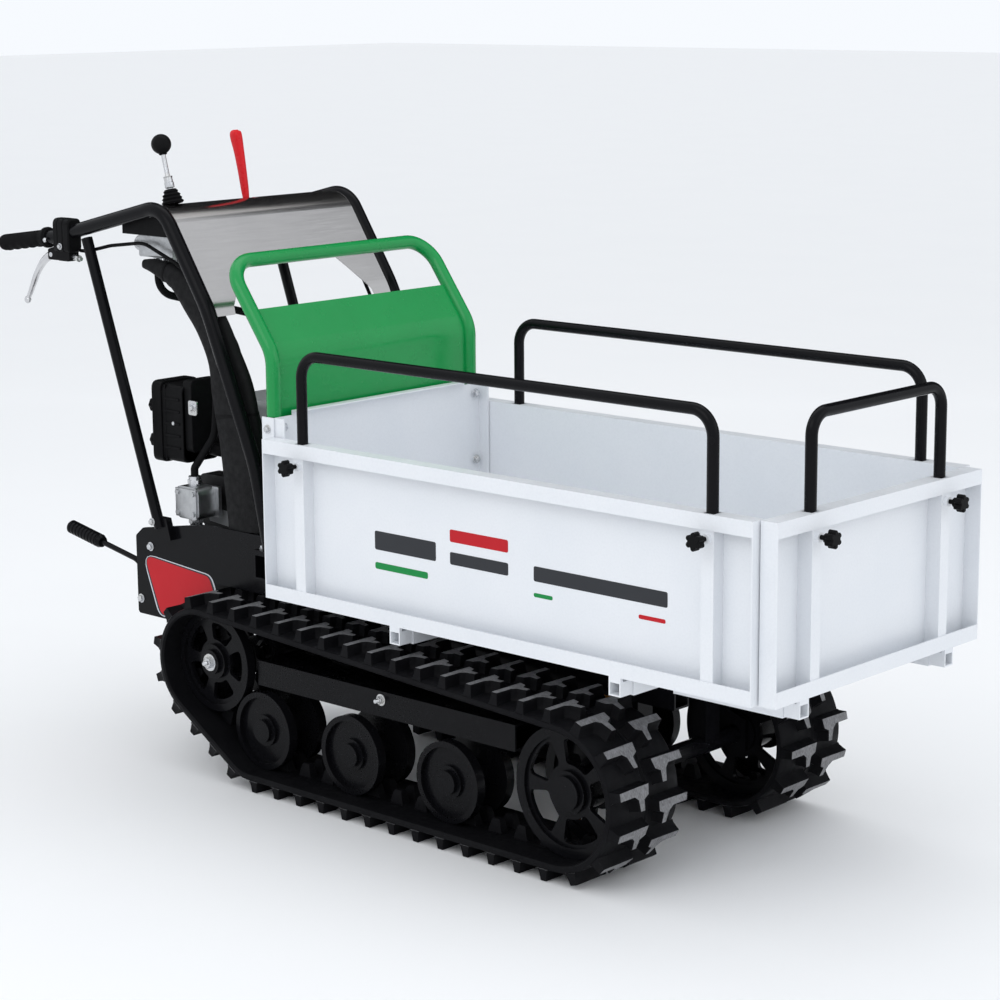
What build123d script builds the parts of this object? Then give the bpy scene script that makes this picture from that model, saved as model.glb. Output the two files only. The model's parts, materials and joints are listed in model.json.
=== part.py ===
from build123d import *
import math
import os

os.makedirs("parts", exist_ok=True)

# Power wheelbarrow (tracked mini dumper), in millimetres.
# +X points to the front gate, +Y to the machine's left, +Z up, and Z = 0 is the ground.

# ---- driving dimensions -------------------------------------------------------------------
BED_X = -176.3            # rear face of the load bed
BED_LENGTH = 1117.0
BED_HALF_WIDTH = 306.6    # outer face of the side walls
WALL_DEPTH = 30.0         # flange depth of the folded side walls
WALL_Z = 380.0            # bottom edge of the walls
WALL_HEIGHT = 297.0
SHEET = 2.5               # folded sheet of the bed
LIP = 26.0                # return lip along the top and bottom flanges
GATE_HALF_WIDTH = 290.0
GATE_DEPTH = 32.5
GATE_GAP = 2.5
REAR_WALL_Z = 721.0       # top edge of the fixed rear wall
FLOOR_Z = 375.0
POST_X = (93.5, 1027.0)   # hoop posts of the side walls, measured from the bed's rear
GATE_POST_Y = 183.0
SOCKET = 30.0             # square socket tubes under the floor
ARM = 25.0                # square telescopic arms
ARM_Z = 360.0
HOOP_RADIUS = 10.0
SIDE_HOOP_Z = 838.0
GATE_HOOP_Z = 832.0
KNOB_Z = 638.0

TRACK_Y = 235.0           # middle of each rubber track
TRACK_WIDTH = 180.0
BELT = 14.0
LUG = 20.0
GUIDE = 24.0
LINKS = 42
WHEEL_GAP = 0.6           # clearance between a wheel and the belt
SPROCKET = (BED_X - 180.0, 221.0, 98.0)     # x, z and the belt's inner radius
IDLER = (BED_X + 717.0, 151.0, 117.0)
ROLLERS = ((BED_X - 45.0, 109.0, 75.0), (BED_X + 190.0, 109.0, 75.0), (BED_X + 435.0, 109.0, 75.0))

PIVOT = (BED_X + 800.0, 345.0)              # tipping axis of the bed
RAM_FOOT = (BED_X + 500.0, 160.0)
RAM_HEAD = (BED_X + 741.0, 352.0)
RAM_SLOP = 4.5            # clearance of the rod eye on its pin

HANDLE_Y = 245.0
HANDLE_RADIUS = 14.0
PLATE_Y = 226.0           # inner face of the engine side plates
DECK_Z = 360.0            # engine deck, above the tracks
RUN_FIT = 0.05            # radial clearance of a shaft in its bearing

WHEEL_HALF = 48.0         # half width of every wheel
RIM_IN = 28.0             # inner edge of each rim of a wheel, from the wheel's middle
AXLE = 12.5

UP = (0, 0, 1)


# ---- helpers -------------------------------------------------------------------------------
def ahead(distance):
    """X of a point given as its distance ahead of the bed's rear face."""
    return BED_X + distance


def finish(piece, node):
    piece.part.label = node
    export_step(piece.part, f"parts/{node}.step")


def block(x, y, z, mode=Mode.ADD):
    """A box between the low and high values of x, y and z."""
    size = [abs(b - a) for a, b in (x, y, z)]
    with Locations(((x[0] + x[1]) / 2, (y[0] + y[1]) / 2, (z[0] + z[1]) / 2)):
        Box(*size, mode=mode)


def rod(start, end, radius, mode=Mode.ADD):
    """A round bar between two points."""
    run = Vector(*end) - Vector(*start)
    with BuildSketch(Plane(origin=start, z_dir=run)) as section:
        Circle(radius)
    extrude(section.sketch, amount=run.length, mode=mode)


def tube(points, radii, radius, mode=Mode.ADD):
    """A round bar along straight runs joined by tangent arcs."""
    with BuildLine() as path:
        if radii:
            FilletPolyline(*points, radius=radii)
        else:
            Polyline(*points)
    with BuildSketch(Plane(origin=path.line @ 0, z_dir=path.line % 0)) as section:
        Circle(radius)
    sweep(section.sketch, path=path.line, mode=mode)


def plate_xz(outline, y, mode=Mode.ADD, corner=0.0):
    """A flat plate with its outline in X and Z, between two values of y."""
    low, high = sorted(y)
    with BuildSketch(Plane.XZ.offset(-high)) as section:
        with BuildLine():
            Polyline(*outline, close=True)
        make_face()
        if corner:
            fillet(section.vertices(), corner)
    extrude(section.sketch, amount=high - low, mode=mode)


def turned(profile, plane, mode=Mode.ADD):
    """A turned body: (axial, radial) points on the plane, spun about the plane's x axis."""
    with BuildSketch(plane) as section:
        with BuildLine():
            Polyline(*profile, close=True)
        make_face()
    revolve(section.sketch, axis=Axis(plane.origin, plane.x_dir), mode=mode)


def wheel_plane(x, z, side):
    """Plane through a wheel's axis: local x points outboard and local y up."""
    return Plane(origin=(x, side * TRACK_Y, z), x_dir=(0, side, 0), z_dir=(side, 0, 0))


def y_hole(x, z, radius, y):
    """A hole along Y."""
    rod((x, y[0], z), (x, y[1], z), radius, mode=Mode.SUBTRACT)


# ---- belt path --------------------------------------------------------------------------------
def offset_route(points, distance):
    """An open (x, z) polyline moved sideways, to the left of its direction."""
    lefts = []
    for (x0, z0), (x1, z1) in zip(points, points[1:]):
        length = math.hypot(x1 - x0, z1 - z0)
        lefts.append((-(z1 - z0) / length, (x1 - x0) / length))
    lefts = lefts[:1] + lefts + lefts[-1:]
    moved = []
    for (x, z), a, b in zip(points, lefts, lefts[1:]):
        scale = distance / (1 + a[0] * b[0] + a[1] * b[1])
        moved.append((x + scale * (a[0] + b[0]), z + scale * (a[1] + b[1])))
    return moved


def belt_runs(grow):
    """Tangent runs and arcs of the belt, anticlockwise: (start, end) and (centre, r, from, to)."""
    wheels = [ROLLERS[0], IDLER, SPROCKET]
    wheels = [(x, z, r + grow) for x, z, r in wheels]
    normals = []
    for here, there in zip(wheels, wheels[1:] + wheels[:1]):
        span = math.hypot(there[0] - here[0], there[1] - here[1])
        heading = math.atan2(there[1] - here[1], there[0] - here[0])
        normals.append(heading - math.acos((here[2] - there[2]) / span))
    runs = []
    for i, (x, z, r) in enumerate(wheels):
        a0 = normals[i - 1]
        a1 = a0 + (normals[i] - a0) % (2 * math.pi)
        runs.append(("arc", (x, z, r), a0, a1))
        x2, z2, r2 = wheels[(i + 1) % len(wheels)]
        n = (math.cos(normals[i]), math.sin(normals[i]))
        runs.append(("line", (x + r * n[0], z + r * n[1]), (x2 + r2 * n[0], z2 + r2 * n[1]), normals[i]))
    return runs


def run_length(run):
    if run[0] == "arc":
        return run[1][2] * (run[3] - run[2])
    return math.dist(run[1], run[2])


def belt_point(s):
    """Point of the belt's middle line at distance s, with the outward normal's angle."""
    for run in belt_runs(BELT / 2):
        length = run_length(run)
        if s <= length:
            break
        s -= length
    if run[0] == "arc":
        x, z, r = run[1]
        angle = run[2] + s / r
        return x + r * math.cos(angle), z + r * math.sin(angle), angle
    (x0, z0), (x1, z1) = run[1], run[2]
    share = s / length
    return x0 + (x1 - x0) * share, z0 + (z1 - z0) * share, run[3]


def belt_face(grow):
    """The area inside the belt's inner surface, grown by a distance."""
    with BuildLine() as rim:
        for run in belt_runs(grow):
            if run[0] == "line":
                Line(run[1], run[2])
            else:
                x, z, r = run[1]
                middle = (run[2] + run[3]) / 2
                corners = [(x + r * math.cos(a), z + r * math.sin(a)) for a in (run[2], middle, run[3])]
                ThreePointArc(*corners)
    return make_face(rim.edges())


def lug_row(y, base, crest, root, tip, shift):
    """One row of lugs: half widths at root and tip, heights measured from the belt's middle."""
    loop = sum(run_length(run) for run in belt_runs(BELT / 2))
    with BuildSketch(Plane.XZ.offset(-y[1])) as section:
        for link in range(LINKS):
            x, z, angle = belt_point((link + shift) % LINKS * loop / LINKS)
            n = (math.cos(angle), math.sin(angle))
            t = (-n[1], n[0])
            corners = ((-base, root), (base, root), (crest, tip), (-crest, tip))
            outline = [(x + a * t[0] + b * n[0], z + a * t[1] + b * n[1]) for a, b in corners]
            with BuildLine():
                Polyline(*outline, close=True)
            make_face()
    extrude(section.sketch, amount=y[1] - y[0])


# ---- rubber tracks -------------------------------------------------------------------------------
track_outer = -TRACK_Y - TRACK_WIDTH / 2
track_inner = -TRACK_Y + TRACK_WIDTH / 2
with BuildPart() as rubber_track_right:
    with BuildSketch(Plane.XZ.offset(-track_inner)) as belt_section:
        add(belt_face(BELT))
        add(belt_face(0), mode=Mode.SUBTRACT)
    extrude(amount=TRACK_WIDTH)
    lug_row((track_outer + 3, -TRACK_Y - 8), 14, 9, 4, BELT / 2 + LUG, 0)
    lug_row((-TRACK_Y + 8, track_inner - 3), 14, 9, 4, BELT / 2 + LUG, 0.5)
    lug_row((-TRACK_Y - 24, -TRACK_Y - 9), 15, 8, -4, -BELT / 2 - GUIDE, 0.25)
    lug_row((-TRACK_Y + 9, -TRACK_Y + 24), 15, 8, -4, -BELT / 2 - GUIDE, 0.25)
finish(rubber_track_right, "rubber_track_right")

with BuildPart() as rubber_track_left:
    add(mirror(rubber_track_right.part, about=Plane.XZ))
finish(rubber_track_left, "rubber_track_left")


# ---- running gear --------------------------------------------------------------------------------
def rim_teeth(x, z, y, count, root, tip, base, crest, width):
    """Flat-topped teeth around a disc that is centred on y."""
    with BuildSketch(Plane(origin=(x, y + width / 2, z), x_dir=(1, 0, 0), z_dir=(0, -1, 0))) as ring:
        for tooth in range(count):
            turn = 2 * math.pi * tooth / count
            n = (math.cos(turn), math.sin(turn))
            corners = ((root, -base), (root, base), (tip, crest), (tip, -crest))
            with BuildLine():
                Polyline(*[(r * n[0] - w * n[1], r * n[1] + w * n[0]) for r, w in corners], close=True)
            make_face()
    extrude(ring.sketch, amount=width)


def spoke_windows(x, z, y, count, inner, outer, half_angle, corner):
    """Rounded annular-sector windows cut through a wheel, between two values of y."""
    low, high = sorted(y)
    with BuildSketch(Plane(origin=(x, high, z), x_dir=(1, 0, 0), z_dir=(0, -1, 0))) as openings:
        for spoke in range(count):
            start = 360 / count * spoke - half_angle
            with BuildLine() as rim:
                outer_arc = CenterArc((0, 0), outer, start, 2 * half_angle)
                inner_arc = CenterArc((0, 0), inner, start, 2 * half_angle)
                Line(outer_arc @ 0, inner_arc @ 0)
                Line(outer_arc @ 1, inner_arc @ 1)
            make_face(rim.edges())
        fillet(openings.vertices(), corner)
    extrude(openings.sketch, amount=high - low, mode=Mode.SUBTRACT)


SHAFT = 15.0
SIDES = ((-1, "right"), (1, "left"))
for side, name in SIDES:
    x, z, reach = SPROCKET
    rim = reach - WHEEL_GAP
    web = 84.0
    with BuildPart() as sprocket:
        turned(
            (
                (-117, 0), (-117, SHAFT), (-52, SHAFT), (-52, 34), (-42, 34), (-42, web),
                (-WHEEL_HALF, web), (-WHEEL_HALF, rim), (-RIM_IN, rim), (-RIM_IN, web), (-34, web),
                (-34, 34), (-6, 34), (-6, 78), (6, 78), (6, 34), (34, 34), (34, web), (RIM_IN, web),
                (RIM_IN, rim), (WHEEL_HALF, rim), (WHEEL_HALF, web), (42, web), (42, 34), (50, 34),
                (50, 24), (57, 24), (57, 0),
            ),
            wheel_plane(x, z, side),
        )
        rim_teeth(x, z, side * TRACK_Y, 11, 76, rim, 12, 6, 12)
        span = (side * (TRACK_Y - 60), side * (TRACK_Y + 60))
        spoke_windows(x, z, span, 5, 42, 75, 25, 7)
    finish(sprocket, f"sprocket_{name}")

    x, z, reach = IDLER
    rim = reach - WHEEL_GAP
    web = 98.0
    bore = SHAFT + RUN_FIT
    with BuildPart() as idler:
        turned(
            (
                (-WHEEL_HALF, bore), (-WHEEL_HALF, 38), (-42, 38), (-42, web), (-WHEEL_HALF, web),
                (-WHEEL_HALF, rim), (-RIM_IN, rim), (-RIM_IN, web), (-34, web), (-34, 38), (34, 38),
                (34, web), (RIM_IN, web), (RIM_IN, rim), (WHEEL_HALF, rim), (WHEEL_HALF, web),
                (42, web), (42, 38), (50, 38), (50, 30), (57, 30), (57, 0), (41, 0), (41, bore),
            ),
            wheel_plane(x, z, side),
        )
        span = (side * (TRACK_Y - 60), side * (TRACK_Y + 60))
        spoke_windows(x, z, span, 5, 48, 92, 27, 8)
    finish(idler, f"idler_{name}")

    for number, (x, z, reach) in enumerate(ROLLERS, start=1):
        rim = reach - WHEEL_GAP
        bore = AXLE + RUN_FIT
        dish = 64.0
        with BuildPart() as roller:
            turned(
                (
                    (-WHEEL_HALF, bore), (-WHEEL_HALF, 30), (-38, 30), (-38, dish), (-WHEEL_HALF, dish),
                    (-WHEEL_HALF, rim), (-RIM_IN, rim), (-RIM_IN, 30), (RIM_IN, 30), (RIM_IN, rim),
                    (WHEEL_HALF, rim), (WHEEL_HALF, dish), (38, dish), (38, 30), (44, 30), (44, 22),
                    (52, 22), (52, 0), (41, 0), (41, bore),
                ),
                wheel_plane(x, z, side),
            )
        finish(roller, f"roller_{name}_{number}")

FRAME_IN = 175.0          # inner face of each track frame
FRAME_OUT = 268.0
BEAM_Z = (192.0, 240.0)
HANGER = 8.0
WALL = 4.0                # wall of the frame's box sections
for side, name in SIDES:
    with BuildPart() as track_frame:
        beam_x = (ahead(-70), ahead(585))
        block(beam_x, (side * FRAME_IN, side * FRAME_OUT), BEAM_Z)
        hollow_y = (side * (FRAME_IN + WALL), side * (FRAME_OUT - WALL))
        block(beam_x, hollow_y, (BEAM_Z[0] + WALL, BEAM_Z[1] - WALL), mode=Mode.SUBTRACT)
        hanger_y = (side * FRAME_IN, side * (FRAME_IN + HANGER))
        for x, z, reach in ROLLERS:
            outline = ((x - 40, BEAM_Z[0]), (x + 40, BEAM_Z[0]), (x + 24, z - 24), (x - 24, z - 24))
            plate_xz(outline, hanger_y)
            rod((x, side * FRAME_IN, z), (x, side * (TRACK_Y + 40), z), AXLE)
        x, z, reach = IDLER
        arm = (
            (ahead(500), BEAM_Z[0]), (ahead(500), BEAM_Z[1]), (ahead(585), BEAM_Z[1]), (x + 28, z + 30),
            (x + 28, z - 28), (x - 28, z - 28), (x - 60, BEAM_Z[0] - 10),
        )
        plate_xz(arm, hanger_y)
        rod((x, side * FRAME_IN, z), (x, side * (TRACK_Y + 40), z), SHAFT)
    finish(track_frame, f"track_frame_{name}")

CHANNEL_Y = (75.0, 115.0)
CHANNEL_Z = (275.0, 335.0)
CROSS_X = (ahead(60), ahead(440))
CROSS_Z = (195.0, 245.0)
PIN = 12.0                # tipping pin
RAM_PIN = 8.0
with BuildPart() as chassis_frame:
    for side in (-1, 1):
        channel = (side * CHANNEL_Y[0], side * CHANNEL_Y[1])
        inside = (side * (CHANNEL_Y[0] + WALL), side * (CHANNEL_Y[1] - WALL))
        block((ahead(-440), ahead(812)), channel, CHANNEL_Z)
        block((ahead(-440), ahead(812)), inside, (CHANNEL_Z[0] + WALL, CHANNEL_Z[1] - WALL), mode=Mode.SUBTRACT)
        for x in CROSS_X:
            block((x - 25, x + 25), channel, (CROSS_Z[1], CHANNEL_Z[0]))
        for x in (ahead(-440), ahead(-260), ahead(-100)):
            block((x, x + 40), channel, (CHANNEL_Z[1], DECK_Z))
        rod((PIVOT[0], side * CHANNEL_Y[0], PIVOT[1]), (PIVOT[0], side * CHANNEL_Y[1], PIVOT[1]), 22)
    for x in CROSS_X:
        block((x - 25, x + 25), (-FRAME_IN, FRAME_IN), CROSS_Z)
        inner_z = (CROSS_Z[0] + WALL, CROSS_Z[1] - WALL)
        block((x - 25 + WALL, x + 25 - WALL), (-FRAME_IN, FRAME_IN), inner_z, mode=Mode.SUBTRACT)
    rod((IDLER[0], -FRAME_IN, IDLER[1]), (IDLER[0], FRAME_IN, IDLER[1]), 17)
    rod((PIVOT[0], -140, PIVOT[1]), (PIVOT[0], 140, PIVOT[1]), PIN)
    for side in (-1, 1):
        channel = (side * CHANNEL_Y[0], side * CHANNEL_Y[1])
        block((IDLER[0] - 15, IDLER[0] + 15), channel, (IDLER[1], CHANNEL_Z[0]))
        x, z = RAM_FOOT
        cheek = (
            (CROSS_X[1] + 25, CROSS_Z[0]), (CROSS_X[1] + 25, CROSS_Z[1]), (x - 14, z + 44),
            (x + 18, z + 8), (x + 18, z - 18), (x - 10, z - 22),
        )
        plate_xz(cheek, (side * 26, side * 34))
    rod((RAM_FOOT[0], -34, RAM_FOOT[1]), (RAM_FOOT[0], 34, RAM_FOOT[1]), RAM_PIN)
    block((ahead(-455), ahead(-35)), (-PLATE_Y, PLATE_Y), (DECK_Z, DECK_Z + 5))
    BEAM_TOP = 445.0
    block((ahead(-80), ahead(-30)), (-262, 262), (BEAM_TOP - 50, BEAM_TOP))
    block((ahead(-76), ahead(-34)), (-262, 262), (BEAM_TOP - 46, BEAM_TOP - 4), mode=Mode.SUBTRACT)
    for side in (-1, 1):
        block((ahead(-80), ahead(-35)), (side * 75, side * 115), (DECK_Z + 5, BEAM_TOP - 50))
finish(chassis_frame, "chassis_frame")

with BuildPart() as gearbox:
    x, z, reach = SPROCKET
    axis_plane = Plane(origin=(x, 0, z), x_dir=(0, 1, 0), z_dir=(1, 0, 0))
    drum = ((60, 72), (66, 64), (66, 30))
    half = drum + ((FRAME_IN, 30), (FRAME_IN, SHAFT + RUN_FIT), (112, SHAFT + RUN_FIT), (112, 0))
    mirrored = tuple((-u, v) for u, v in reversed(half))
    turned(mirrored + half, axis_plane)
    block((x - 30, x + 30), (-40, 40), (z + 60, DECK_Z))
    for side in (-1, 1):
        block((x - 22, x + 22), (side * CHANNEL_Y[0], side * CHANNEL_Y[1]), (z + 18, CHANNEL_Z[0]))
        y_hole(x, z, SHAFT + RUN_FIT, (side * 112, side * FRAME_IN))
finish(gearbox, "gearbox")


# ---- load bed -------------------------------------------------------------------------------------
def square_tube(x, y, z, along, wall, mode=Mode.ADD):
    """A square tube along "x" or "y", open at both ends."""
    block(x, y, z, mode=mode)
    inner = [(a + wall, b - wall) for a, b in (x, y, z)]
    if along == "x":
        inner[0] = x
    else:
        inner[1] = y
    block(*inner, mode=Mode.SUBTRACT)


SOCKET_Z = (ARM_Z - SOCKET / 2, ARM_Z + SOCKET / 2)
ARM_ZS = (ARM_Z - ARM / 2, ARM_Z + ARM / 2)
RIGHT_ARMS = (335.0, 840.0)
LEFT_ARMS = (370.0, 875.0)
GATE_ARM_Y = 208.0
FLOOR_EDGE = 275.0
with BuildPart() as bed_floor:
    block((ahead(SHEET), ahead(BED_LENGTH)), (-FLOOR_EDGE, FLOOR_EDGE), (FLOOR_Z, FLOOR_Z + 3))
    for side in (-1, 1):
        corner = (side * (FLOOR_EDGE - 3), side * FLOOR_EDGE)
        block((ahead(SHEET), ahead(27)), corner, (FLOOR_Z, FLOOR_Z + 3), mode=Mode.SUBTRACT)
    for side, arms in ((-1, RIGHT_ARMS), (1, LEFT_ARMS)):
        for x in arms:
            span = (ahead(x - SOCKET / 2), ahead(x + SOCKET / 2))
            square_tube(span, tuple(sorted((side * 16, side * FLOOR_EDGE))), SOCKET_Z, "y", 2)
    for side in (-1, 1):
        span = (side * GATE_ARM_Y - SOCKET / 2, side * GATE_ARM_Y + SOCKET / 2)
        square_tube((ahead(896), ahead(BED_LENGTH)), span, SOCKET_Z, "x", 2)
        x, z = PIVOT
        lug = (side * 119, side * 132)
        plate_xz(((x - 50, FLOOR_Z), (x + 24, FLOOR_Z), (x + 19, z), (x - 19, z)), lug)
        rod((x, lug[0], z), (x, lug[1], z), 20)
        y_hole(x, z, PIN + RUN_FIT, lug)
        x, z = RAM_HEAD
        cheek = (side * 20, side * 28)
        plate_xz(((x - 30, FLOOR_Z), (x + 24, FLOOR_Z), (x + 14, z - 10), (x - 14, z - 10)), cheek)
    rod((RAM_HEAD[0], -28, RAM_HEAD[1]), (RAM_HEAD[0], 28, RAM_HEAD[1]), RAM_PIN)
finish(bed_floor, "bed_floor")

with BuildPart() as rear_wall:
    wall_y = FLOOR_EDGE
    block((ahead(0), ahead(SHEET)), (-wall_y, wall_y), (FLOOR_Z, 700))
    block((ahead(0), ahead(SHEET)), (-231, 231), (700, REAR_WALL_Z))
    block((ahead(0), ahead(18)), (-231, 231), (REAR_WALL_Z - SHEET, REAR_WALL_Z))
    for side in (-1, 1):
        block((ahead(0), ahead(SHEET)), (side * 231, side * 274), (700, 712))
        block((ahead(SHEET), ahead(27)), (side * (wall_y - 3), side * wall_y), (FLOOR_Z, 712))
        y = side * 258
        for z in (560, 693):
            rod((ahead(0), y, z), (ahead(7), y, z), 7)
finish(rear_wall, "rear_wall")

RACK = 13.5
RACK_Y = 262.0
RACK_X = -13.5
RACK_BEND = (ahead(RACK_X), 827.0)
RACK_TOP = (ahead(-131), 987.0)
PANEL_TOP = 903.0
with BuildPart() as rear_rack:
    route = [
        (ahead(RACK_X), -RACK_Y, 540), (RACK_BEND[0], -RACK_Y, RACK_BEND[1]), (RACK_TOP[0], -RACK_Y, RACK_TOP[1]),
        (RACK_TOP[0], RACK_Y, RACK_TOP[1]), (RACK_BEND[0], RACK_Y, RACK_BEND[1]), (ahead(RACK_X), RACK_Y, 540),
    ]
    tube(route, [70, 55, 55, 70], RACK)
    share = (PANEL_TOP - RACK_BEND[1]) / (RACK_TOP[1] - RACK_BEND[1])
    panel_x = RACK_BEND[0] + (RACK_TOP[0] - RACK_BEND[0]) * share
    with BuildSketch(Plane.XZ.offset(-RACK_Y)) as panel:
        with BuildLine():
            FilletPolyline((ahead(RACK_X), 640), RACK_BEND, (panel_x, PANEL_TOP), radius=70)
        trace(line_width=2)
    extrude(panel.sketch, amount=2 * RACK_Y)
finish(rear_rack, "rear_rack")

TOP_Z = WALL_Z + WALL_HEIGHT
POST_TUBE = 25.0
POST_WALL = 2.0


def tray(length, depth, bottom, top):
    """Boxes of a folded panel: (along, deep, high) spans, with the panel at deep = 0."""
    ends = ((0, SHEET), (length - SHEET, length))
    spans = [((0, length), (0, SHEET), (bottom, top))]
    spans += [(end, (0, depth), (bottom, top)) for end in ends]
    spans += [((0, length), (0, depth), (z, z + SHEET)) for z in (bottom, top - SHEET)]
    spans += [((0, length), (depth - SHEET, depth), (z, z + LIP)) for z in (bottom, top - LIP)]
    return spans


def shift(span, move, turn=1):
    return tuple(sorted((move + turn * span[0], move + turn * span[1])))


for side, name in SIDES:
    face = side * BED_HALF_WIDTH
    panel = side * (BED_HALF_WIDTH - WALL_DEPTH)
    arms = RIGHT_ARMS if side < 0 else LEFT_ARMS
    with BuildPart() as side_wall:
        for along, deep, high in tray(BED_LENGTH, WALL_DEPTH, WALL_Z, TOP_Z):
            block(shift(along, BED_X), shift(deep, panel, side), high)
        post_y = (panel + side * SHEET, panel + side * (WALL_DEPTH - SHEET))
        middle = sum(post_y) / 2
        for x in POST_X:
            span = (ahead(x) - POST_TUBE / 2, ahead(x) + POST_TUBE / 2)
            block(span, post_y, (WALL_Z + 6, TOP_Z - SHEET))
            rod((ahead(x), post_y[1], KNOB_Z), (ahead(x), face + side * 5, KNOB_Z), 8)
        for x in POST_X:
            inner = (ahead(x) - POST_TUBE / 2 + POST_WALL, ahead(x) + POST_TUBE / 2 - POST_WALL)
            inner_y = (middle - POST_TUBE / 2 + POST_WALL, middle + POST_TUBE / 2 - POST_WALL)
            block(inner, inner_y, (WALL_Z + 6, TOP_Z), mode=Mode.SUBTRACT)
            y_hole(ahead(x), KNOB_Z, 4 + RUN_FIT, (middle, face + side * 5))
        for x in arms:
            span = (ahead(x) - ARM / 2, ahead(x) + ARM / 2)
            square_tube(span, tuple(sorted((side * 20, face))), ARM_ZS, "y", 2.5)
            block(span, (face, face - side * 6), (ARM_ZS[1], WALL_Z))
            block(span, (face - side * 21, face - side * 27), (ARM_ZS[1], WALL_Z))
    finish(side_wall, f"side_wall_{name}")

GATE_X = BED_LENGTH + GATE_GAP
GATE_FACE = GATE_X + GATE_DEPTH
gate_post_x = (ahead(GATE_X + SHEET), ahead(GATE_FACE - SHEET))
gate_hoop_x = sum(gate_post_x) / 2
with BuildPart() as front_gate:
    for along, deep, high in tray(2 * GATE_HALF_WIDTH, GATE_DEPTH, WALL_Z, TOP_Z):
        block(shift(deep, ahead(GATE_X)), shift(along, -GATE_HALF_WIDTH), high)
    for side in (-1, 1):
        y = side * GATE_POST_Y
        block(gate_post_x, (y - POST_TUBE / 2, y + POST_TUBE / 2), (WALL_Z + 6, TOP_Z - SHEET))
        rod((gate_post_x[1], y, KNOB_Z), (ahead(GATE_FACE + 5), y, KNOB_Z), 8)
    for side in (-1, 1):
        y = side * GATE_POST_Y
        half = POST_TUBE / 2 - POST_WALL
        block((gate_hoop_x - half, gate_hoop_x + half), (y - half, y + half), (WALL_Z + 6, TOP_Z), mode=Mode.SUBTRACT)
        rod((gate_hoop_x, y, KNOB_Z), (ahead(GATE_FACE + 5), y, KNOB_Z), 4 + RUN_FIT, mode=Mode.SUBTRACT)
        y = side * GATE_ARM_Y
        arm_x = (ahead(900), ahead(GATE_FACE - 4))
        square_tube(arm_x, (y - ARM / 2, y + ARM / 2), ARM_ZS, "x", 2.5)
        block((ahead(GATE_X + 2), ahead(GATE_X + 8)), (y - ARM / 2, y + ARM / 2), (ARM_ZS[1], WALL_Z))
        block((ahead(GATE_FACE - 10), ahead(GATE_FACE - 4)), (y - ARM / 2, y + ARM / 2), (ARM_ZS[1], WALL_Z))
finish(front_gate, "front_gate")

HOOP_FOOT_Z = 480.0
hoop_y = BED_HALF_WIDTH - WALL_DEPTH / 2
for side, name in SIDES:
    y = side * hoop_y
    rear, front = ahead(POST_X[0]), ahead(POST_X[1])
    with BuildPart() as side_hoop:
        corners = ((rear, y, HOOP_FOOT_Z), (rear, y, SIDE_HOOP_Z), (front, y, SIDE_HOOP_Z), (front, y, HOOP_FOOT_Z))
        tube(corners, [42, 42], HOOP_RADIUS)
    finish(side_hoop, f"side_hoop_{name}")

with BuildPart() as gate_hoop:
    legs = [(gate_hoop_x, -GATE_POST_Y), (gate_hoop_x, GATE_POST_Y)]
    corners = (
        (*legs[0], HOOP_FOOT_Z), (*legs[0], GATE_HOOP_Z), (*legs[1], GATE_HOOP_Z), (*legs[1], HOOP_FOOT_Z),
    )
    tube(corners, [36, 36], HOOP_RADIUS)
finish(gate_hoop, "gate_hoop")


def star_knob(origin, outward):
    """A six-lobed clamping knob: local z points outward, z = 0 is the end of the stud."""
    plane = Plane(origin=origin, z_dir=outward)
    with BuildSketch(plane) as stud:
        Circle(4)
    extrude(stud.sketch, amount=21)
    with BuildSketch(plane.offset(20)) as neck:
        Circle(8)
    extrude(neck.sketch, amount=8)
    with BuildSketch(plane.offset(27)) as head:
        Circle(11)
        with PolarLocations(10.5, 6):
            Circle(4.6)
    extrude(head.sketch, amount=14)
    chamfer(faces().sort_by(Axis(plane.origin, plane.z_dir))[-1].edges(), 1.5)


STUD_GAP = 0.4
for side, name in SIDES:
    stud_y = side * (hoop_y + HOOP_RADIUS + STUD_GAP)
    for x, place in zip(POST_X, ("rear", "front")):
        with BuildPart() as knob:
            star_knob((ahead(x), stud_y, KNOB_Z), (0, side, 0))
        finish(knob, f"knob_{name}_{place}")
    with BuildPart() as knob:
        star_knob((gate_hoop_x + HOOP_RADIUS + STUD_GAP, side * GATE_POST_Y, KNOB_Z), (1, 0, 0))
    finish(knob, f"knob_gate_{name}")

# ---- tipping ram -----------------------------------------------------------------------------------
ram_run = Vector(RAM_HEAD[0] - RAM_FOOT[0], 0, RAM_HEAD[1] - RAM_FOOT[1])
ram_dir = ram_run.normalized()
foot = Vector(RAM_FOOT[0], 0, RAM_FOOT[1])
head = Vector(RAM_HEAD[0], 0, RAM_HEAD[1])
ROD = 11.0
with BuildPart() as ram_barrel:
    rod(tuple(foot + ram_dir * 24), tuple(foot + ram_dir * 190), 24)
    eye = [(foot.X, foot.Z), (foot.X + ram_dir.X * 32, foot.Z + ram_dir.Z * 32)]
    plate_xz(offset_route(eye, 14) + offset_route(eye[::-1], 14), (-15, 15))
    rod((foot.X, -20, foot.Z), (foot.X, 20, foot.Z), 18)
    rod(tuple(foot + ram_dir * 60), tuple(foot + ram_dir * 191), ROD + 0.5, mode=Mode.SUBTRACT)
    y_hole(foot.X, foot.Z, RAM_PIN + RUN_FIT, (-24, 24))
finish(ram_barrel, "ram_barrel")

with BuildPart() as ram_rod:
    rod(tuple(foot + ram_dir * 70), tuple(head - ram_dir * 14), ROD)
    rod((head.X, -15, head.Z), (head.X, 15, head.Z), 17)
    y_hole(head.X, head.Z, RAM_PIN + RAM_SLOP, (-15, 15))
finish(ram_rod, "ram_rod")


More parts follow.
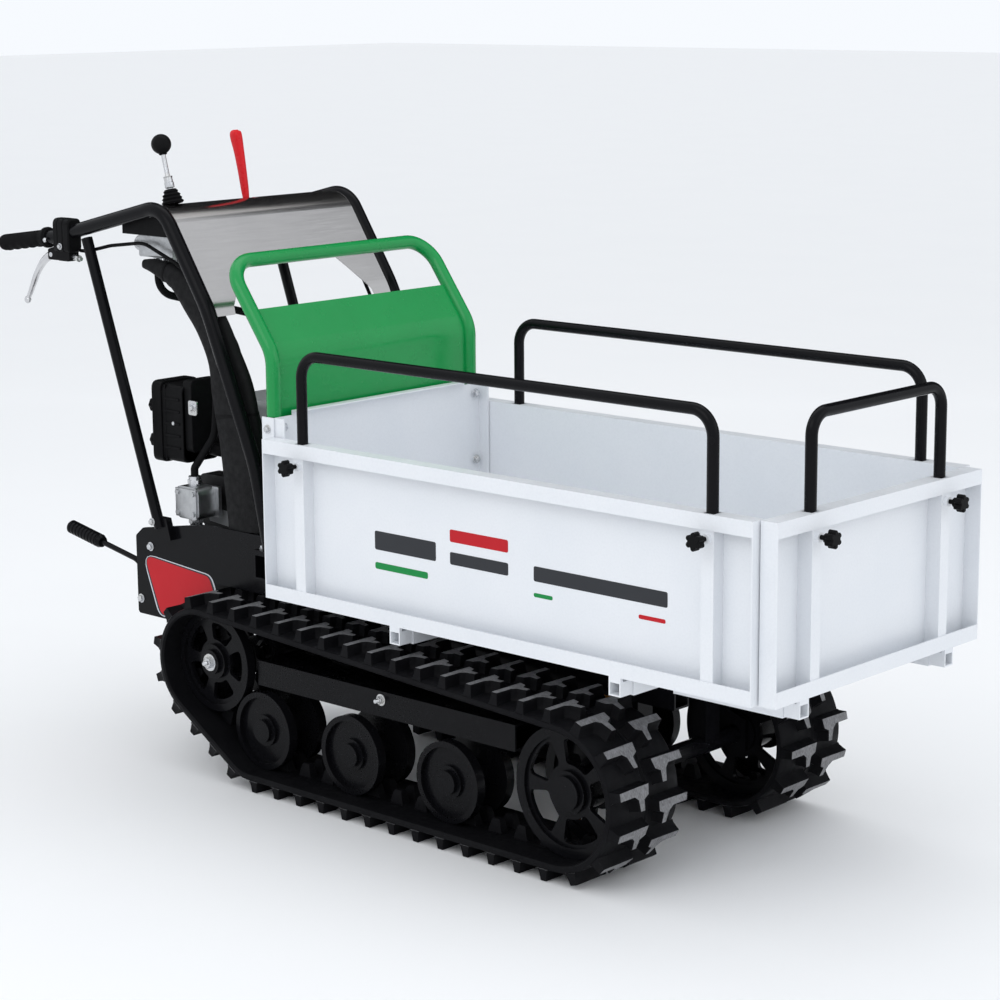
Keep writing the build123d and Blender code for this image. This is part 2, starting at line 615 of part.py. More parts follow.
# ---- handlebars --------------------------------------------------------------------------------------
def along_route(start, end, x):
    """Z of the line from start to end at a given x."""
    return start[1] + (end[1] - start[1]) * (x - start[0]) / (end[0] - start[0])


GRIP_END = (ahead(-828), 979.0)
GRIP_ROOT = (ahead(-655), 1002.0)
SHOULDER = (ahead(-335), 1079.0)
CHEST = (ahead(-211), 893.0)
WAIST = (ahead(-88), 608.0)
HANDLE_FOOT = (ahead(-52), BEAM_TOP + 3.3)
HANDLE = [GRIP_END, GRIP_ROOT, SHOULDER, CHEST, WAIST, HANDLE_FOOT]
HANDLE_BENDS = [200, 60, 300, 300]
STRUT_TOP = (ahead(-563), along_route(GRIP_ROOT, SHOULDER, ahead(-563)) - 20)
STRUT_FOOT = (ahead(-370), 449.0)
for side, name in SIDES:
    y = side * HANDLE_Y
    with BuildPart() as handlebar:
        tube([(x, y, z) for x, z in HANDLE], HANDLE_BENDS, HANDLE_RADIUS)
        block((ahead(-80), ahead(-30)), (y - 17, y + 17), (BEAM_TOP, BEAM_TOP + 6))
    finish(handlebar, f"handlebar_{name}")

with BuildPart() as handlebar_struts:
    for side in (-1, 1):
        y = side * HANDLE_Y
        rod((STRUT_TOP[0], y, STRUT_TOP[1]), (STRUT_FOOT[0], y, STRUT_FOOT[1]), 11)
        plate_xz(
            ((ahead(-395), 470), (ahead(-352), 470), (ahead(-340), 428), (ahead(-366), 422)),
            (side * (PLATE_Y + 5), side * HANDLE_Y),
        )
finish(handlebar_struts, "handlebar_struts")

with BuildPart() as handle_grips:
    for side in (-1, 1):
        origin = (GRIP_END[0], side * HANDLE_Y, GRIP_END[1])
        run = (GRIP_ROOT[0] - GRIP_END[0], 0, GRIP_ROOT[1] - GRIP_END[1])
        grip_plane = Plane(origin=origin, x_dir=run, z_dir=(0, 1, 0))
        grip = [(-5, 0), (-5, 12), (-1, 16)]
        for ridge in range(5):
            start = 8 + 24 * ridge
            grip += [(start, 16.5), (start + 8, 15.4), (start + 16, 15.4)]
        grip += [(136, 16.5), (140, 21), (146, 21), (148, 18), (152, 18), (152, HANDLE_RADIUS)]
        grip += [(0, HANDLE_RADIUS), (0, 0)]
        turned(grip, grip_plane)
finish(handle_grips, "handle_grips")

PERCH_X = (ahead(-650), ahead(-600))
LEVER_PIN = (ahead(-664), 966.0)
LEVER_TIP = (ahead(-761), 866.0)
with BuildPart() as lever_perches:
    for side in (-1, 1):
        y = side * HANDLE_Y
        block(PERCH_X, (y - 17, y + 17), (970, 1042))
        block((PERCH_X[0] + 8, PERCH_X[1] - 4), (y - 12, y + 12), (955, 970))
        for cheek in (-1, 1):
            span = sorted((y + cheek * 7, y + cheek * 12))
            plate_xz(
                ((PERCH_X[0], 1000), (PERCH_X[0], 955), (LEVER_PIN[0] - 9, 955), (LEVER_PIN[0] - 9, 976)),
                span,
            )
        rod((LEVER_PIN[0], y - 12, LEVER_PIN[1]), (LEVER_PIN[0], y + 12, LEVER_PIN[1]), 3.5)
    for side in (-1, 1):
        y = side * HANDLE_Y
        tube([(x, y, z) for x, z in HANDLE[:3]], HANDLE_BENDS[:1], HANDLE_RADIUS, mode=Mode.SUBTRACT)
finish(lever_perches, "lever_perches")

for side, name in SIDES:
    y = side * HANDLE_Y
    with BuildPart() as steering_lever:
        rod((LEVER_PIN[0], y - 5, LEVER_PIN[1]), (LEVER_PIN[0], y + 5, LEVER_PIN[1]), 8)
        blade = offset_route([LEVER_PIN, LEVER_TIP], 6) + offset_route([LEVER_TIP, LEVER_PIN], 4)
        plate_xz(blade, (y - 4, y + 4))
        rod((LEVER_TIP[0], y - 6, LEVER_TIP[1]), (LEVER_TIP[0], y + 6, LEVER_TIP[1]), 8)
        y_hole(LEVER_PIN[0], LEVER_PIN[1], 3.5 + RUN_FIT, (y - 6, y + 6))
    finish(steering_lever, f"steering_lever_{name}")

# ---- console -------------------------------------------------------------------------------------------
HOOD_Y = HANDLE_Y - HANDLE_RADIUS
HOOD_REAR = (ahead(-500), along_route(GRIP_ROOT, SHOULDER, ahead(-500)))
HOOD_EDGE = (CHEST[0] + 8, CHEST[1] - 18)
RED_SLOT = (ahead(-410), ahead(-352))
RED_Y = 15.0
BALL_Y = -185.0
BALL_PIVOT = (ahead(-373), 1088.0)
BALL_TOP = (ahead(-400), 1190.0)
with BuildPart() as console_hood:
    middle = offset_route([HOOD_REAR, SHOULDER, CHEST, HOOD_EDGE], 5)
    with BuildSketch(Plane.XZ.offset(-HOOD_Y)) as sheet:
        with BuildLine():
            FilletPolyline(*middle, radius=[65, 150])
        trace(line_width=2)
    extrude(sheet.sketch, amount=2 * HOOD_Y)
    with BuildSketch(Plane.YZ.offset(ahead(-330))) as notch:
        with BuildLine():
            Polyline((-192, 850), (-183, 893), (-112, 972), (112, 972), (183, 893), (192, 850), close=True)
        make_face()
        fillet(notch.vertices().sort_by(Axis.Y)[2:], 14)
    extrude(notch.sketch, amount=200, mode=Mode.SUBTRACT)
    block(RED_SLOT, (RED_Y - 7, RED_Y + 7), (1030, 1120), mode=Mode.SUBTRACT)
    rod((BALL_PIVOT[0], BALL_Y, 1040), (BALL_PIVOT[0], BALL_Y, 1100), 13, mode=Mode.SUBTRACT)
finish(console_hood, "console_hood")

SHELF_Z = 1018.0
with BuildPart() as console_shelf:
    block((ahead(-470), ahead(-300)), (-HOOD_Y, HOOD_Y), (SHELF_Z, SHELF_Z + 4))
    for side in (-1, 1):
        edge = (side * (HOOD_Y - 4), side * HOOD_Y)
        plate_xz(
            ((ahead(-470), SHELF_Z), (ahead(-470), 1034), (ahead(-400), 1052), (ahead(-345), 1060), (ahead(-300), SHELF_Z)),
            edge,
        )
    for low, high in ((RED_Y - 12, RED_Y - 7), (RED_Y + 7, RED_Y + 12)):
        block((ahead(-396), ahead(-366)), (low, high), (SHELF_Z + 4, SHELF_Z + 34))
    red_pivot = (ahead(-381), SHELF_Z + 24)
    rod((red_pivot[0], RED_Y - 12, red_pivot[1]), (red_pivot[0], RED_Y + 12, red_pivot[1]), 4)
    block((ahead(-388), ahead(-362)), (BALL_Y - 10, BALL_Y + 10), (SHELF_Z + 4, 1056))
    rod((BALL_PIVOT[0], BALL_Y, 1050), (BALL_PIVOT[0], BALL_Y, BALL_PIVOT[1] - 7.5), 5)
finish(console_shelf, "console_shelf")

with BuildPart() as drive_lever:
    rod((red_pivot[0], RED_Y - 6, red_pivot[1]), (red_pivot[0], RED_Y + 6, red_pivot[1]), 9)
    lean = [(ahead(-381), SHELF_Z + 30), (ahead(-387), 1090), (ahead(-396), 1130), (ahead(-410), 1208)]
    plate_xz(
        ((lean[0][0] - 5, lean[0][1]), (lean[0][0] + 5, lean[0][1]), (lean[1][0] + 6, lean[1][1]), (lean[1][0] - 6, lean[1][1])),
        (RED_Y - 4, RED_Y + 4),
    )
    sizes = ((14, 12), (20, 15), (26, 18))
    sections = []
    for (x, z), (deep, wide) in zip(lean[1:], sizes):
        with BuildSketch(Plane(origin=(x, RED_Y, z), x_dir=(1, 0, 0), z_dir=UP)) as cut:
            RectangleRounded(deep, wide, 5)
        sections.append(cut.sketch)
    loft(sections)
    fillet(faces().sort_by(Axis.Z)[-1].edges(), 5)
    y_hole(red_pivot[0], red_pivot[1], 4 + RUN_FIT, (RED_Y - 7, RED_Y + 7))
finish(drive_lever, "drive_lever")

lever_run = Vector(BALL_TOP[0] - BALL_PIVOT[0], 0, BALL_TOP[1] - BALL_PIVOT[1])
lever_dir = lever_run.normalized()
pivot = Vector(BALL_PIVOT[0], BALL_Y, BALL_PIVOT[1])
BALL = 19.5
with BuildPart() as tip_lever:
    with Locations(tuple(pivot)):
        Sphere(7)
    rod((pivot.X, pivot.Y - 9, pivot.Z), (pivot.X, pivot.Y + 9, pivot.Z), 3)
    rod(tuple(pivot), tuple(pivot + lever_run), 5)
    rod(tuple(pivot + lever_dir * 20), tuple(pivot + lever_dir * 42), 9)
    with Locations(tuple(pivot + lever_run)):
        Sphere(BALL)
finish(tip_lever, "tip_lever")

with BuildPart() as lever_boot:
    boot_plane = Plane(origin=tuple(pivot), x_dir=lever_dir, z_dir=(0, 1, 0))
    folds = [(-11, 19), (-8, 22), (-4, 18), (-1, 20), (3, 16), (6, 18), (10, 13), (13, 14.5), (17, 11)]
    turned([(-11, 14), *folds, (17, 9.4), (4, 10.5)], boot_plane)
finish(lever_boot, "lever_boot")


# ---- power unit ------------------------------------------------------------------------------------------
CRANK = (ahead(-215), 452.0)
DECK_TOP = DECK_Z + 5
with BuildPart() as engine_block:
    x, z = CRANK
    block((x - 85, x + 75), (-62, 66), (DECK_TOP + 12, z + 50))
    block((x - 70, x + 60), (-80, 60), (DECK_TOP, DECK_TOP + 12))
    for fin in range(7):
        low = z + 54 + 13 * fin
        block((x - 46, x + 44), (-46, 46), (low, low + 5))
    block((x - 34, x + 32), (-34, 34), (z + 50, z + 150))
    block((x - 42, x + 40), (-42, 42), (z + 137, z + 160))
    rod((x, -62, z), (x, -112, z), 12)
    block((x - 46, x - 30), (-30, 30), (z + 62, z + 150))
    outline = (
        (ahead(-372), 470), (ahead(-352), 548), (ahead(-280), 548), (ahead(-170), 505), (ahead(-160), 440),
        (ahead(-190), DECK_TOP), (ahead(-260), DECK_TOP), (ahead(-340), 440),
    )
    plate_xz(outline, (-152, -112), corner=14)
finish(engine_block, "engine_block")

with BuildPart() as engine_cowl:
    x, z = CRANK
    cowl_plane = Plane(origin=(x, 66, z), x_dir=(0, 1, 0), z_dir=(1, 0, 0))
    turned([(0, 0), (0, 84), (34, 84), (42, 74), (42, 52), (60, 46), (64, 36), (64, 0)], cowl_plane)
    block((x - 52, x + 50), (50, 92), (z + 60, z + 168))
finish(engine_cowl, "engine_cowl")

TANK_Z = (z + 172, z + 248)
with BuildPart() as fuel_tank:
    block((ahead(-330), ahead(-115)), (-112, 112), TANK_Z)
    fillet(edges().filter_by(Axis.Z), 30)
    fillet(faces().sort_by(Axis.Z)[-1].edges(), 16)
    fillet(faces().sort_by(Axis.Z)[0].edges(), 10)
    for x in (ahead(-262), ahead(-172)):
        block((x, x + 12), (-30, 30), (z + 160, TANK_Z[0] + 2))
    rod((ahead(-262), 0, TANK_Z[1] - 2), (ahead(-262), 0, TANK_Z[1] + 8), 20)
finish(fuel_tank, "fuel_tank")

with BuildPart() as fuel_cap:
    cap_plane = Plane(origin=(ahead(-262), 0, TANK_Z[1] + 8.3), x_dir=UP, z_dir=(0, 1, 0))
    turned([(0, 0), (0, 24), (-6, 24), (-6, 28), (12, 28), (16, 24), (16, 0)], cap_plane)
    with BuildSketch(Plane.XY.offset(TANK_Z[1] + 2.3)) as ribs:
        with Locations((ahead(-262), 0)):
            with PolarLocations(28, 16):
                Circle(1.6)
    extrude(ribs.sketch, amount=16)
    rod((ahead(-262), 0, TANK_Z[1] - 10), (ahead(-262), 0, TANK_Z[1] + 8.3), 20.3, mode=Mode.SUBTRACT)
finish(fuel_cap, "fuel_cap")

with BuildPart() as muffler:
    x, z = CRANK
    block((x + 62, x + 140), (-78, 74), (z + 58, z + 140))
    fillet(edges().filter_by(Axis.Y), 22)
    block((x + 44, x + 64), (-14, 14), (z + 90, z + 112))
    rod((x + 110, -78, z + 100), (x + 110, -104, z + 92), 11)
finish(muffler, "muffler")

with BuildPart() as air_cleaner:
    case_x = (ahead(-412), ahead(-326))
    case_y = (-214, -128)
    case_z = (582, 726)
    block(case_x, case_y, case_z)
    fillet(edges().filter_by(Axis.X), 14)
    split_x = case_x[0] + 34
    block((split_x, split_x + 3), (case_y[0] - 3, case_y[1] + 3), (case_z[0] - 3, case_z[1] + 3))
    for z in (692, 622):
        rod((case_x[0], -171, z), (case_x[0] - 10, -171, z), 7)
        rod((case_x[0] - 10, -171, z), (case_x[0] - 22, -171, z), 14)
    port = (CRANK[0] - 46.2, -10, 560)
    tube([(case_x[1] - 4, -150, 600), (port[0] - 26, -150, 600), (port[0] - 26, -10, 560), port], [20, 20], 13)
finish(air_cleaner, "air_cleaner")

PUMP = (ahead(-318), 502.0)
with BuildPart() as hydraulic_pump:
    x, z = PUMP
    pump_plane = Plane(origin=(x, 0, z), x_dir=(0, 1, 0), z_dir=(1, 0, 0))
    block((x - 34, x + 34), (-218, -176), (z - 32, z + 32))
    fillet(edges().filter_by(Axis.Y), 16)
    block((x - 44, x + 44), (-176, -168), (z - 30, z + 30))
    block((x - 30, x + 30), (-222, -218), (z - 28, z + 28))
    turned([(-168, 0), (-168, 20), (-152, 20), (-152, 0)], pump_plane)
    for dx in (-22, 22):
        for dz in (-20, 20):
            rod((x + dx, -222, z + dz), (x + dx, -226, z + dz), 5)
finish(hydraulic_pump, "hydraulic_pump")

with BuildPart() as hydraulic_tank:
    block((ahead(-335), ahead(-165)), (136, 220), (DECK_TOP, 520))
    fillet(edges().filter_by(Axis.Z), 14)
    rod((ahead(-200), 180, 518), (ahead(-200), 180, 534), 22)
finish(hydraulic_tank, "hydraulic_tank")

VALVE_X = (ahead(-452), ahead(-352))
VALVE_Y = (-206.0, -150.0)
VALVE_Z = (972.0, SHELF_Z)
with BuildPart() as control_valve:
    block(VALVE_X, VALVE_Y, VALVE_Z)
    fillet(edges().filter_by(Axis.X), 5)
    y = sum(VALVE_Y) / 2
    rod((VALVE_X[0], y, 995), (VALVE_X[0] - 30, y, 995), 15)
    rod((VALVE_X[1], y, 995), (VALVE_X[1] + 16, y, 995), 13)
finish(control_valve, "control_valve")

# Hoses: pump to valve, valve to tank, and valve to the ram's bulkhead fitting on the deck.
HOSE = 7.5
hose_routes = (
    (
        [
            (ahead(-318), -197, 552.4), (ahead(-318), -197, 568), (ahead(-255), -197, 640),
            (ahead(-240), -197, 780), (ahead(-300), -190, 890), (ahead(-375), -178, 920), (ahead(-375), -178, 953.8),
        ],
        [10, 60, 70, 60, 26],
    ),
    (
        [
            (ahead(-430), -178, 953.8), (ahead(-430), -178, 900), (ahead(-400), 0, 850),
            (ahead(-400), 178, 800), (ahead(-400), 178, 700), (ahead(-300), 178, 600), (ahead(-300), 178, 538),
        ],
        [40, 60, 60, 60, 30],
    ),
    (
        [
            (ahead(-402), -178, 953.8), (ahead(-402), -178, 925), (ahead(-330), -186, 905), (ahead(-205), -188, 830),
            (ahead(-150), -188, 700), (ahead(-110), -180, 560), (ahead(-100), -165, 470), (ahead(-100), -165, 383.2),
        ],
        [20, 60, 60, 60, 60, 60],
    ),
)
with BuildPart() as hydraulic_hoses:
    for points, bends in hose_routes:
        tube(points, bends, HOSE)
finish(hydraulic_hoses, "hydraulic_hoses")

with BuildPart() as hydraulic_fittings:
    for points, bends in hose_routes:
        for near, far in ((points[0], points[1]), (points[-1], points[-2])):
            out = (Vector(*near) - Vector(*far)).normalized()
            rod(near, tuple(Vector(*near) + out * 8), 11)
            rod(tuple(Vector(*near) + out * 8), tuple(Vector(*near) + out * 18), 8)
finish(hydraulic_fittings, "hydraulic_fittings")

# ---- side plates, gear lever and cables ----------------------------------------------------------------------
GEAR_PIVOT = (ahead(-438), 330.0)
GEAR_Y = 205.0
plate_outline = (
    (ahead(-462), 262), (ahead(-345), 262), (ahead(-300), 322), (ahead(-262), 357), (ahead(-80), 357),
    (ahead(-80), 470), (ahead(-250), 470), (ahead(-440), 438), (ahead(-462), 420),
)
for side, name in SIDES:
    with BuildPart() as side_plate:
        plate_xz(plate_outline, (side * PLATE_Y, side * (PLATE_Y + 5)), corner=7)
        if side < 0:
            x, z = GEAR_PIVOT
            rod((x, -PLATE_Y, z), (x, -GEAR_Y + 14, z), 6)
            rod((x, -GEAR_Y + 9, z), (x, -GEAR_Y + 14, z), 10)
    finish(side_plate, f"side_plate_{name}")

with BuildPart() as gear_lever:
    x, z = GEAR_PIVOT
    rod((x, -GEAR_Y - 8, z), (x, -GEAR_Y + 8, z), 13)
    lever_line = [(x, -GEAR_Y, z), (ahead(-497), -GEAR_Y, 362), (ahead(-604), -GEAR_Y, 382)]
    tube(lever_line, [30], 5.5)
    grip_run = Vector(*lever_line[2]) - Vector(*lever_line[1])
    grip_plane = Plane(origin=lever_line[2], x_dir=-grip_run, z_dir=(0, 1, 0))
    ribs = [(-100, 0), (-100, 11)]
    for rib in range(9):
        ribs += [(-96 + 10 * rib, 14), (-91 + 10 * rib, 14), (-90 + 10 * rib, 12.4), (-87 + 10 * rib, 12.4)]
    turned([*ribs, (-4, 14), (4, 11), (4, 0)], grip_plane)
    y_hole(x, z, 6 + RUN_FIT, (-GEAR_Y - 9, -GEAR_Y + 9))
finish(gear_lever, "gear_lever")

CABLE = 3.5
with BuildPart() as control_cables:
    for side in (-1, 1):
        y = side * 221
        route = [
            (PERCH_X[1], side * 232, 976), (ahead(-578), side * 232, 976), (ahead(-520), y, 990),
            (ahead(-420), y, 1002), (ahead(-300), y, 960), (ahead(-235), y, 850), (ahead(-160), y, 680),
            (ahead(-118), y, 560), (ahead(-112), y, 458),
        ]
        tube(route, [60, 80, 80, 90, 120, 200, 200], CABLE)
finish(control_cables, "control_cables")
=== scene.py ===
import json
import math

import bmesh
import bpy
from mathutils import Matrix, Vector


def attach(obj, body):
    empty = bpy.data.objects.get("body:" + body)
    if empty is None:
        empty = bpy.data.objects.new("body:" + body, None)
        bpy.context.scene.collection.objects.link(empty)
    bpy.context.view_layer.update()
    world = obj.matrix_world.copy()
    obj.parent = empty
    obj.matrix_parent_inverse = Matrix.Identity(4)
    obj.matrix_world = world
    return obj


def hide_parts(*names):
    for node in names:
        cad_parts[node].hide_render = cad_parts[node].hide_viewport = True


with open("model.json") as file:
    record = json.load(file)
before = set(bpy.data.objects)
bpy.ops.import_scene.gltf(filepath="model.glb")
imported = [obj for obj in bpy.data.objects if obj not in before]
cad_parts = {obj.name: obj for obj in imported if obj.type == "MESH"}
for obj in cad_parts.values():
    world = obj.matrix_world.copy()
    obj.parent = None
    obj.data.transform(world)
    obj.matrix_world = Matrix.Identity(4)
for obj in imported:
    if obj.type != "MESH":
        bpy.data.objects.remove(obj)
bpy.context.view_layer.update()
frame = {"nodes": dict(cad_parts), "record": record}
NODES = frame["nodes"]
SLOT_OF = {s["node"]: s["material_slot"] for s in frame["record"]["subparts"]}
BODY_OF = {n: b for b, ns in frame["record"]["behaviour"]["bodies"].items() for n in ns}


# ---- camera, light and floor -----------------------------------------------------------------------
AZIMUTH, PITCH, ROLL = math.radians(42.53), math.radians(11.4), math.radians(-0.43)
CAMERA_AT = (3.2605, -3.4038, 1.5003)
back = Vector((math.sin(AZIMUTH) * math.cos(PITCH), -math.cos(AZIMUTH) * math.cos(PITCH), math.sin(PITCH)))
level = Vector((math.cos(AZIMUTH), math.sin(AZIMUTH), 0))
rise = back.cross(level)
right = level * math.cos(ROLL) + rise * math.sin(ROLL)
up = rise * math.cos(ROLL) - level * math.sin(ROLL)
camera = bpy.data.objects.new("camera", bpy.data.cameras.new("camera"))
bpy.context.scene.collection.objects.link(camera)
turn = Matrix((right, up, back)).transposed().to_4x4()
camera.matrix_world = Matrix.Translation(CAMERA_AT) @ turn
camera.data.lens = 92.3
camera.data.sensor_width = 36
camera.data.shift_x = -0.0027
camera.data.shift_y = -0.0061
bpy.context.scene.camera = camera
bpy.context.scene.view_settings.view_transform = "Standard"

world = bpy.data.worlds.new("studio")
bpy.context.scene.world = world
world.use_nodes = True
world.node_tree.nodes["Background"].inputs["Color"].default_value = (0.93, 0.96, 1.0, 1)
world.node_tree.nodes["Background"].inputs["Strength"].default_value = 1.0


def softbox(name, place, aim, size, power):
    light = bpy.data.objects.new(name, bpy.data.lights.new(name, "AREA"))
    bpy.context.scene.collection.objects.link(light)
    light.data.shape = "RECTANGLE"
    light.data.size, light.data.size_y = size
    light.data.energy = power
    light.location = place
    light.rotation_euler = (Vector(aim) - Vector(place)).to_track_quat("-Z", "Y").to_euler()


softbox("key", (0.6, -3.4, 3.4), (0, 0, 0.5), (3.2, 2.2), 26)
softbox("fill", (4.2, 0.8, 2.4), (0, 0, 0.4), (2.6, 2.0), 10)
softbox("top", (-0.6, 0.8, 4.2), (0, 0, 0.4), (3.4, 2.6), 20)

# a black flag behind the machine, seen only in its reflections
flag_mesh = bpy.data.meshes.new("flag")
flag_corners = [(-5.6, 1.2, 0.2), (3.3, 8.2, 0.2), (3.3, 8.2, 9.5), (-5.6, 1.2, 9.5)]
flag_mesh.from_pydata(flag_corners, [], [(0, 1, 2, 3)])
flag = bpy.data.objects.new("flag", flag_mesh)
bpy.context.scene.collection.objects.link(flag)
flag.visible_camera = False
flag.visible_diffuse = False
flag.visible_shadow = False

floor_mesh = bpy.data.meshes.new("floor")
edge = bmesh.new()
bmesh.ops.create_grid(edge, x_segments=8, y_segments=8, size=40)
edge.to_mesh(floor_mesh)
floor = bpy.data.objects.new("floor", floor_mesh)
floor.location = (0, 0, -0.0006)
bpy.context.scene.collection.objects.link(floor)


# ---- materials -------------------------------------------------------------------------------------
class Surface:
    """A node material on object coordinates, built up in layers: tint, roughness and bump."""

    def __init__(self, name, colour, rough, metal=0.0, coat=0.0, coat_rough=0.1, specular=0.5):
        self.material = bpy.data.materials.new(name)
        self.material.use_nodes = True
        self.material.diffuse_color = (*colour, 1)
        self.tree = self.material.node_tree
        self.shader = self.tree.nodes["Principled BSDF"]
        self.shader.inputs["Metallic"].default_value = metal
        self.shader.inputs["Coat Weight"].default_value = coat
        self.shader.inputs["Specular IOR Level"].default_value = specular
        self.shader.inputs["Coat Roughness"].default_value = coat_rough
        self.place = self.node("ShaderNodeTexCoord").outputs["Object"]
        self.colour = None
        self.base = (*colour, 1)
        self.rough = rough
        self.normal = None

    def node(self, kind, **settings):
        made = self.tree.nodes.new(kind)
        for key, value in settings.items():
            if hasattr(made, key):
                setattr(made, key, value)
            else:
                made.inputs[key].default_value = value
        return made

    def link(self, out, node, socket):
        self.tree.links.new(out, node.inputs[socket])

    def noise(self, scale, detail=4.0, stretch=(1, 1, 1), distortion=0.0):
        spread = self.node("ShaderNodeMapping")
        spread.inputs["Scale"].default_value = stretch
        self.link(self.place, spread, "Vector")
        made = self.node("ShaderNodeTexNoise", Scale=scale, Detail=detail, Distortion=distortion)
        self.link(spread.outputs["Vector"], made, "Vector")
        return made.outputs["Fac"]

    def remap(self, value, low, high, to_low, to_high):
        made = self.node("ShaderNodeMapRange")
        made.inputs["From Min"].default_value = low
        made.inputs["From Max"].default_value = high
        made.inputs["To Min"].default_value = to_low
        made.inputs["To Max"].default_value = to_high
        self.link(value, made, "Value")
        return made.outputs["Result"]

    def tint(self, mask, colour):
        """Lays a colour over what is there, where the mask is 1."""
        mix = self.node("ShaderNodeMix", data_type="RGBA")
        if self.colour is None:
            mix.inputs["A"].default_value = self.base
            mix.inputs[6].default_value = self.base
        else:
            self.tree.links.new(self.colour, mix.inputs[6])
        mix.inputs[7].default_value = (*colour, 1)
        self.tree.links.new(mask, mix.inputs[0])
        self.colour = mix.outputs[2]
        return self

    def mottle(self, scale, amount, colour, stretch=(1, 1, 1)):
        return self.tint(self.remap(self.noise(scale, 5.0, stretch), 0.42, 0.68, 0, amount), colour)

    def roughen(self, scale, low, high, stretch=(1, 1, 1)):
        self.link(self.remap(self.noise(scale, 4.0, stretch), 0.3, 0.7, low, high), self.shader, "Roughness")
        self.rough = None
        return self

    def bump(self, scale, strength, distance=0.0004, stretch=(1, 1, 1), detail=3.0):
        made = self.node("ShaderNodeBump")
        made.inputs["Strength"].default_value = strength
        made.inputs["Distance"].default_value = distance
        self.link(self.noise(scale, detail, stretch), made, "Height")
        if self.normal is not None:
            self.link(self.normal, made, "Normal")
        self.normal = made.outputs["Normal"]
        return self

    def along(self, axis, low, high):
        """1 between two values of a coordinate, in metres."""
        split = self.node("ShaderNodeSeparateXYZ")
        self.link(self.place, split, "Vector")
        over = self.node("ShaderNodeMath", operation="GREATER_THAN")
        over.inputs[1].default_value = low
        under = self.node("ShaderNodeMath", operation="LESS_THAN")
        under.inputs[1].default_value = high
        both = self.node("ShaderNodeMath", operation="MULTIPLY")
        for test in (over, under):
            self.tree.links.new(split.outputs[axis], test.inputs[0])
        self.tree.links.new(over.outputs[0], both.inputs[0])
        self.tree.links.new(under.outputs[0], both.inputs[1])
        return both.outputs[0]

    def done(self):
        if self.colour is None:
            self.shader.inputs["Base Color"].default_value = self.base
        else:
            self.link(self.colour, self.shader, "Base Color")
        if self.rough is not None:
            self.shader.inputs["Roughness"].default_value = self.rough
        if self.normal is not None:
            self.link(self.normal, self.shader, "Normal")
        return self.material


def powder(name, colour, dull, rubbed, low, high, coat=0.25, specular=0.5):
    """Powder-coated sheet: faint orange peel, slow colour drift, rubbed edges."""
    made = Surface(name, colour, 0.3, coat=coat, coat_rough=0.2, specular=specular)
    made.mottle(7, 0.4, dull).mottle(240, 0.12, rubbed).roughen(26, low, high)
    return made.bump(900, 0.10, 0.0002).bump(110, 0.06, 0.0004).done()


FINISH = {
    "white_paint": powder(
        "white_paint", (0.80, 0.82, 0.85), (0.74, 0.77, 0.81), (0.62, 0.64, 0.68), 0.30, 0.42,
    ),
    "black_paint": powder(
        "black_paint", (0.004, 0.004, 0.005), (0.006, 0.006, 0.007), (0.014, 0.014, 0.016), 0.16, 0.28, 0.0, 0.1,
    ),
    "green_paint": powder(
        "green_paint", (0.004, 0.28, 0.062), (0.003, 0.24, 0.052), (0.012, 0.31, 0.085), 0.18, 0.30, 0.1, 0.35,
    ),
    "tank_paint": powder("tank_paint", (0.42, 0.43, 0.44), (0.36, 0.37, 0.38), (0.52, 0.52, 0.53), 0.34, 0.5),
    "heat_black": powder(
        "heat_black", (0.020, 0.019, 0.018), (0.035, 0.028, 0.022), (0.07, 0.06, 0.055), 0.55, 0.8, 0.0,
    ),
    "ram_gold": powder(
        "ram_gold", (0.50, 0.20, 0.012), (0.42, 0.16, 0.010), (0.55, 0.3, 0.06), 0.22, 0.36, 0.4,
    ),
}
steel = Surface("stainless", (0.50, 0.49, 0.485), 0.3, metal=1.0)
steel.mottle(9, 0.3, (0.43, 0.42, 0.42)).mottle(420, 0.1, (0.54, 0.53, 0.52), (1, 0.02, 1))
steel.roughen(420, 0.13, 0.20, (1, 0.03, 1)).bump(900, 0.015, 0.0001, (1, 0.02, 1))
FINISH["stainless"] = steel.done()
zinc = Surface("zinc", (0.62, 0.63, 0.65), 0.25, metal=1.0)
zinc.mottle(160, 0.5, (0.45, 0.46, 0.50)).mottle(40, 0.3, (0.66, 0.62, 0.50)).roughen(220, 0.16, 0.38)
FINISH["zinc"] = zinc.bump(500, 0.12, 0.0002).done()
chrome = Surface("bright_rod", (0.66, 0.66, 0.67), 0.12, metal=1.0)
chrome.mottle(70, 0.35, (0.50, 0.50, 0.52)).roughen(120, 0.10, 0.28)
FINISH["bright_rod"] = chrome.bump(400, 0.10, 0.0002).done()
cast = Surface("engine_metal", (0.008, 0.008, 0.009), 0.5, specular=0.25)
cast.mottle(30, 0.5, (0.018, 0.018, 0.019)).mottle(300, 0.3, (0.03, 0.03, 0.032)).roughen(90, 0.35, 0.6)
FINISH["engine_metal"] = cast.bump(420, 0.35, 0.0005).done()
silver = Surface("pump_aluminium", (0.52, 0.53, 0.54), 0.4, metal=1.0)
silver.mottle(50, 0.5, (0.34, 0.35, 0.36)).mottle(350, 0.3, (0.62, 0.62, 0.64)).roughen(140, 0.28, 0.5)
FINISH["pump_aluminium"] = silver.bump(520, 0.30, 0.0004).done()


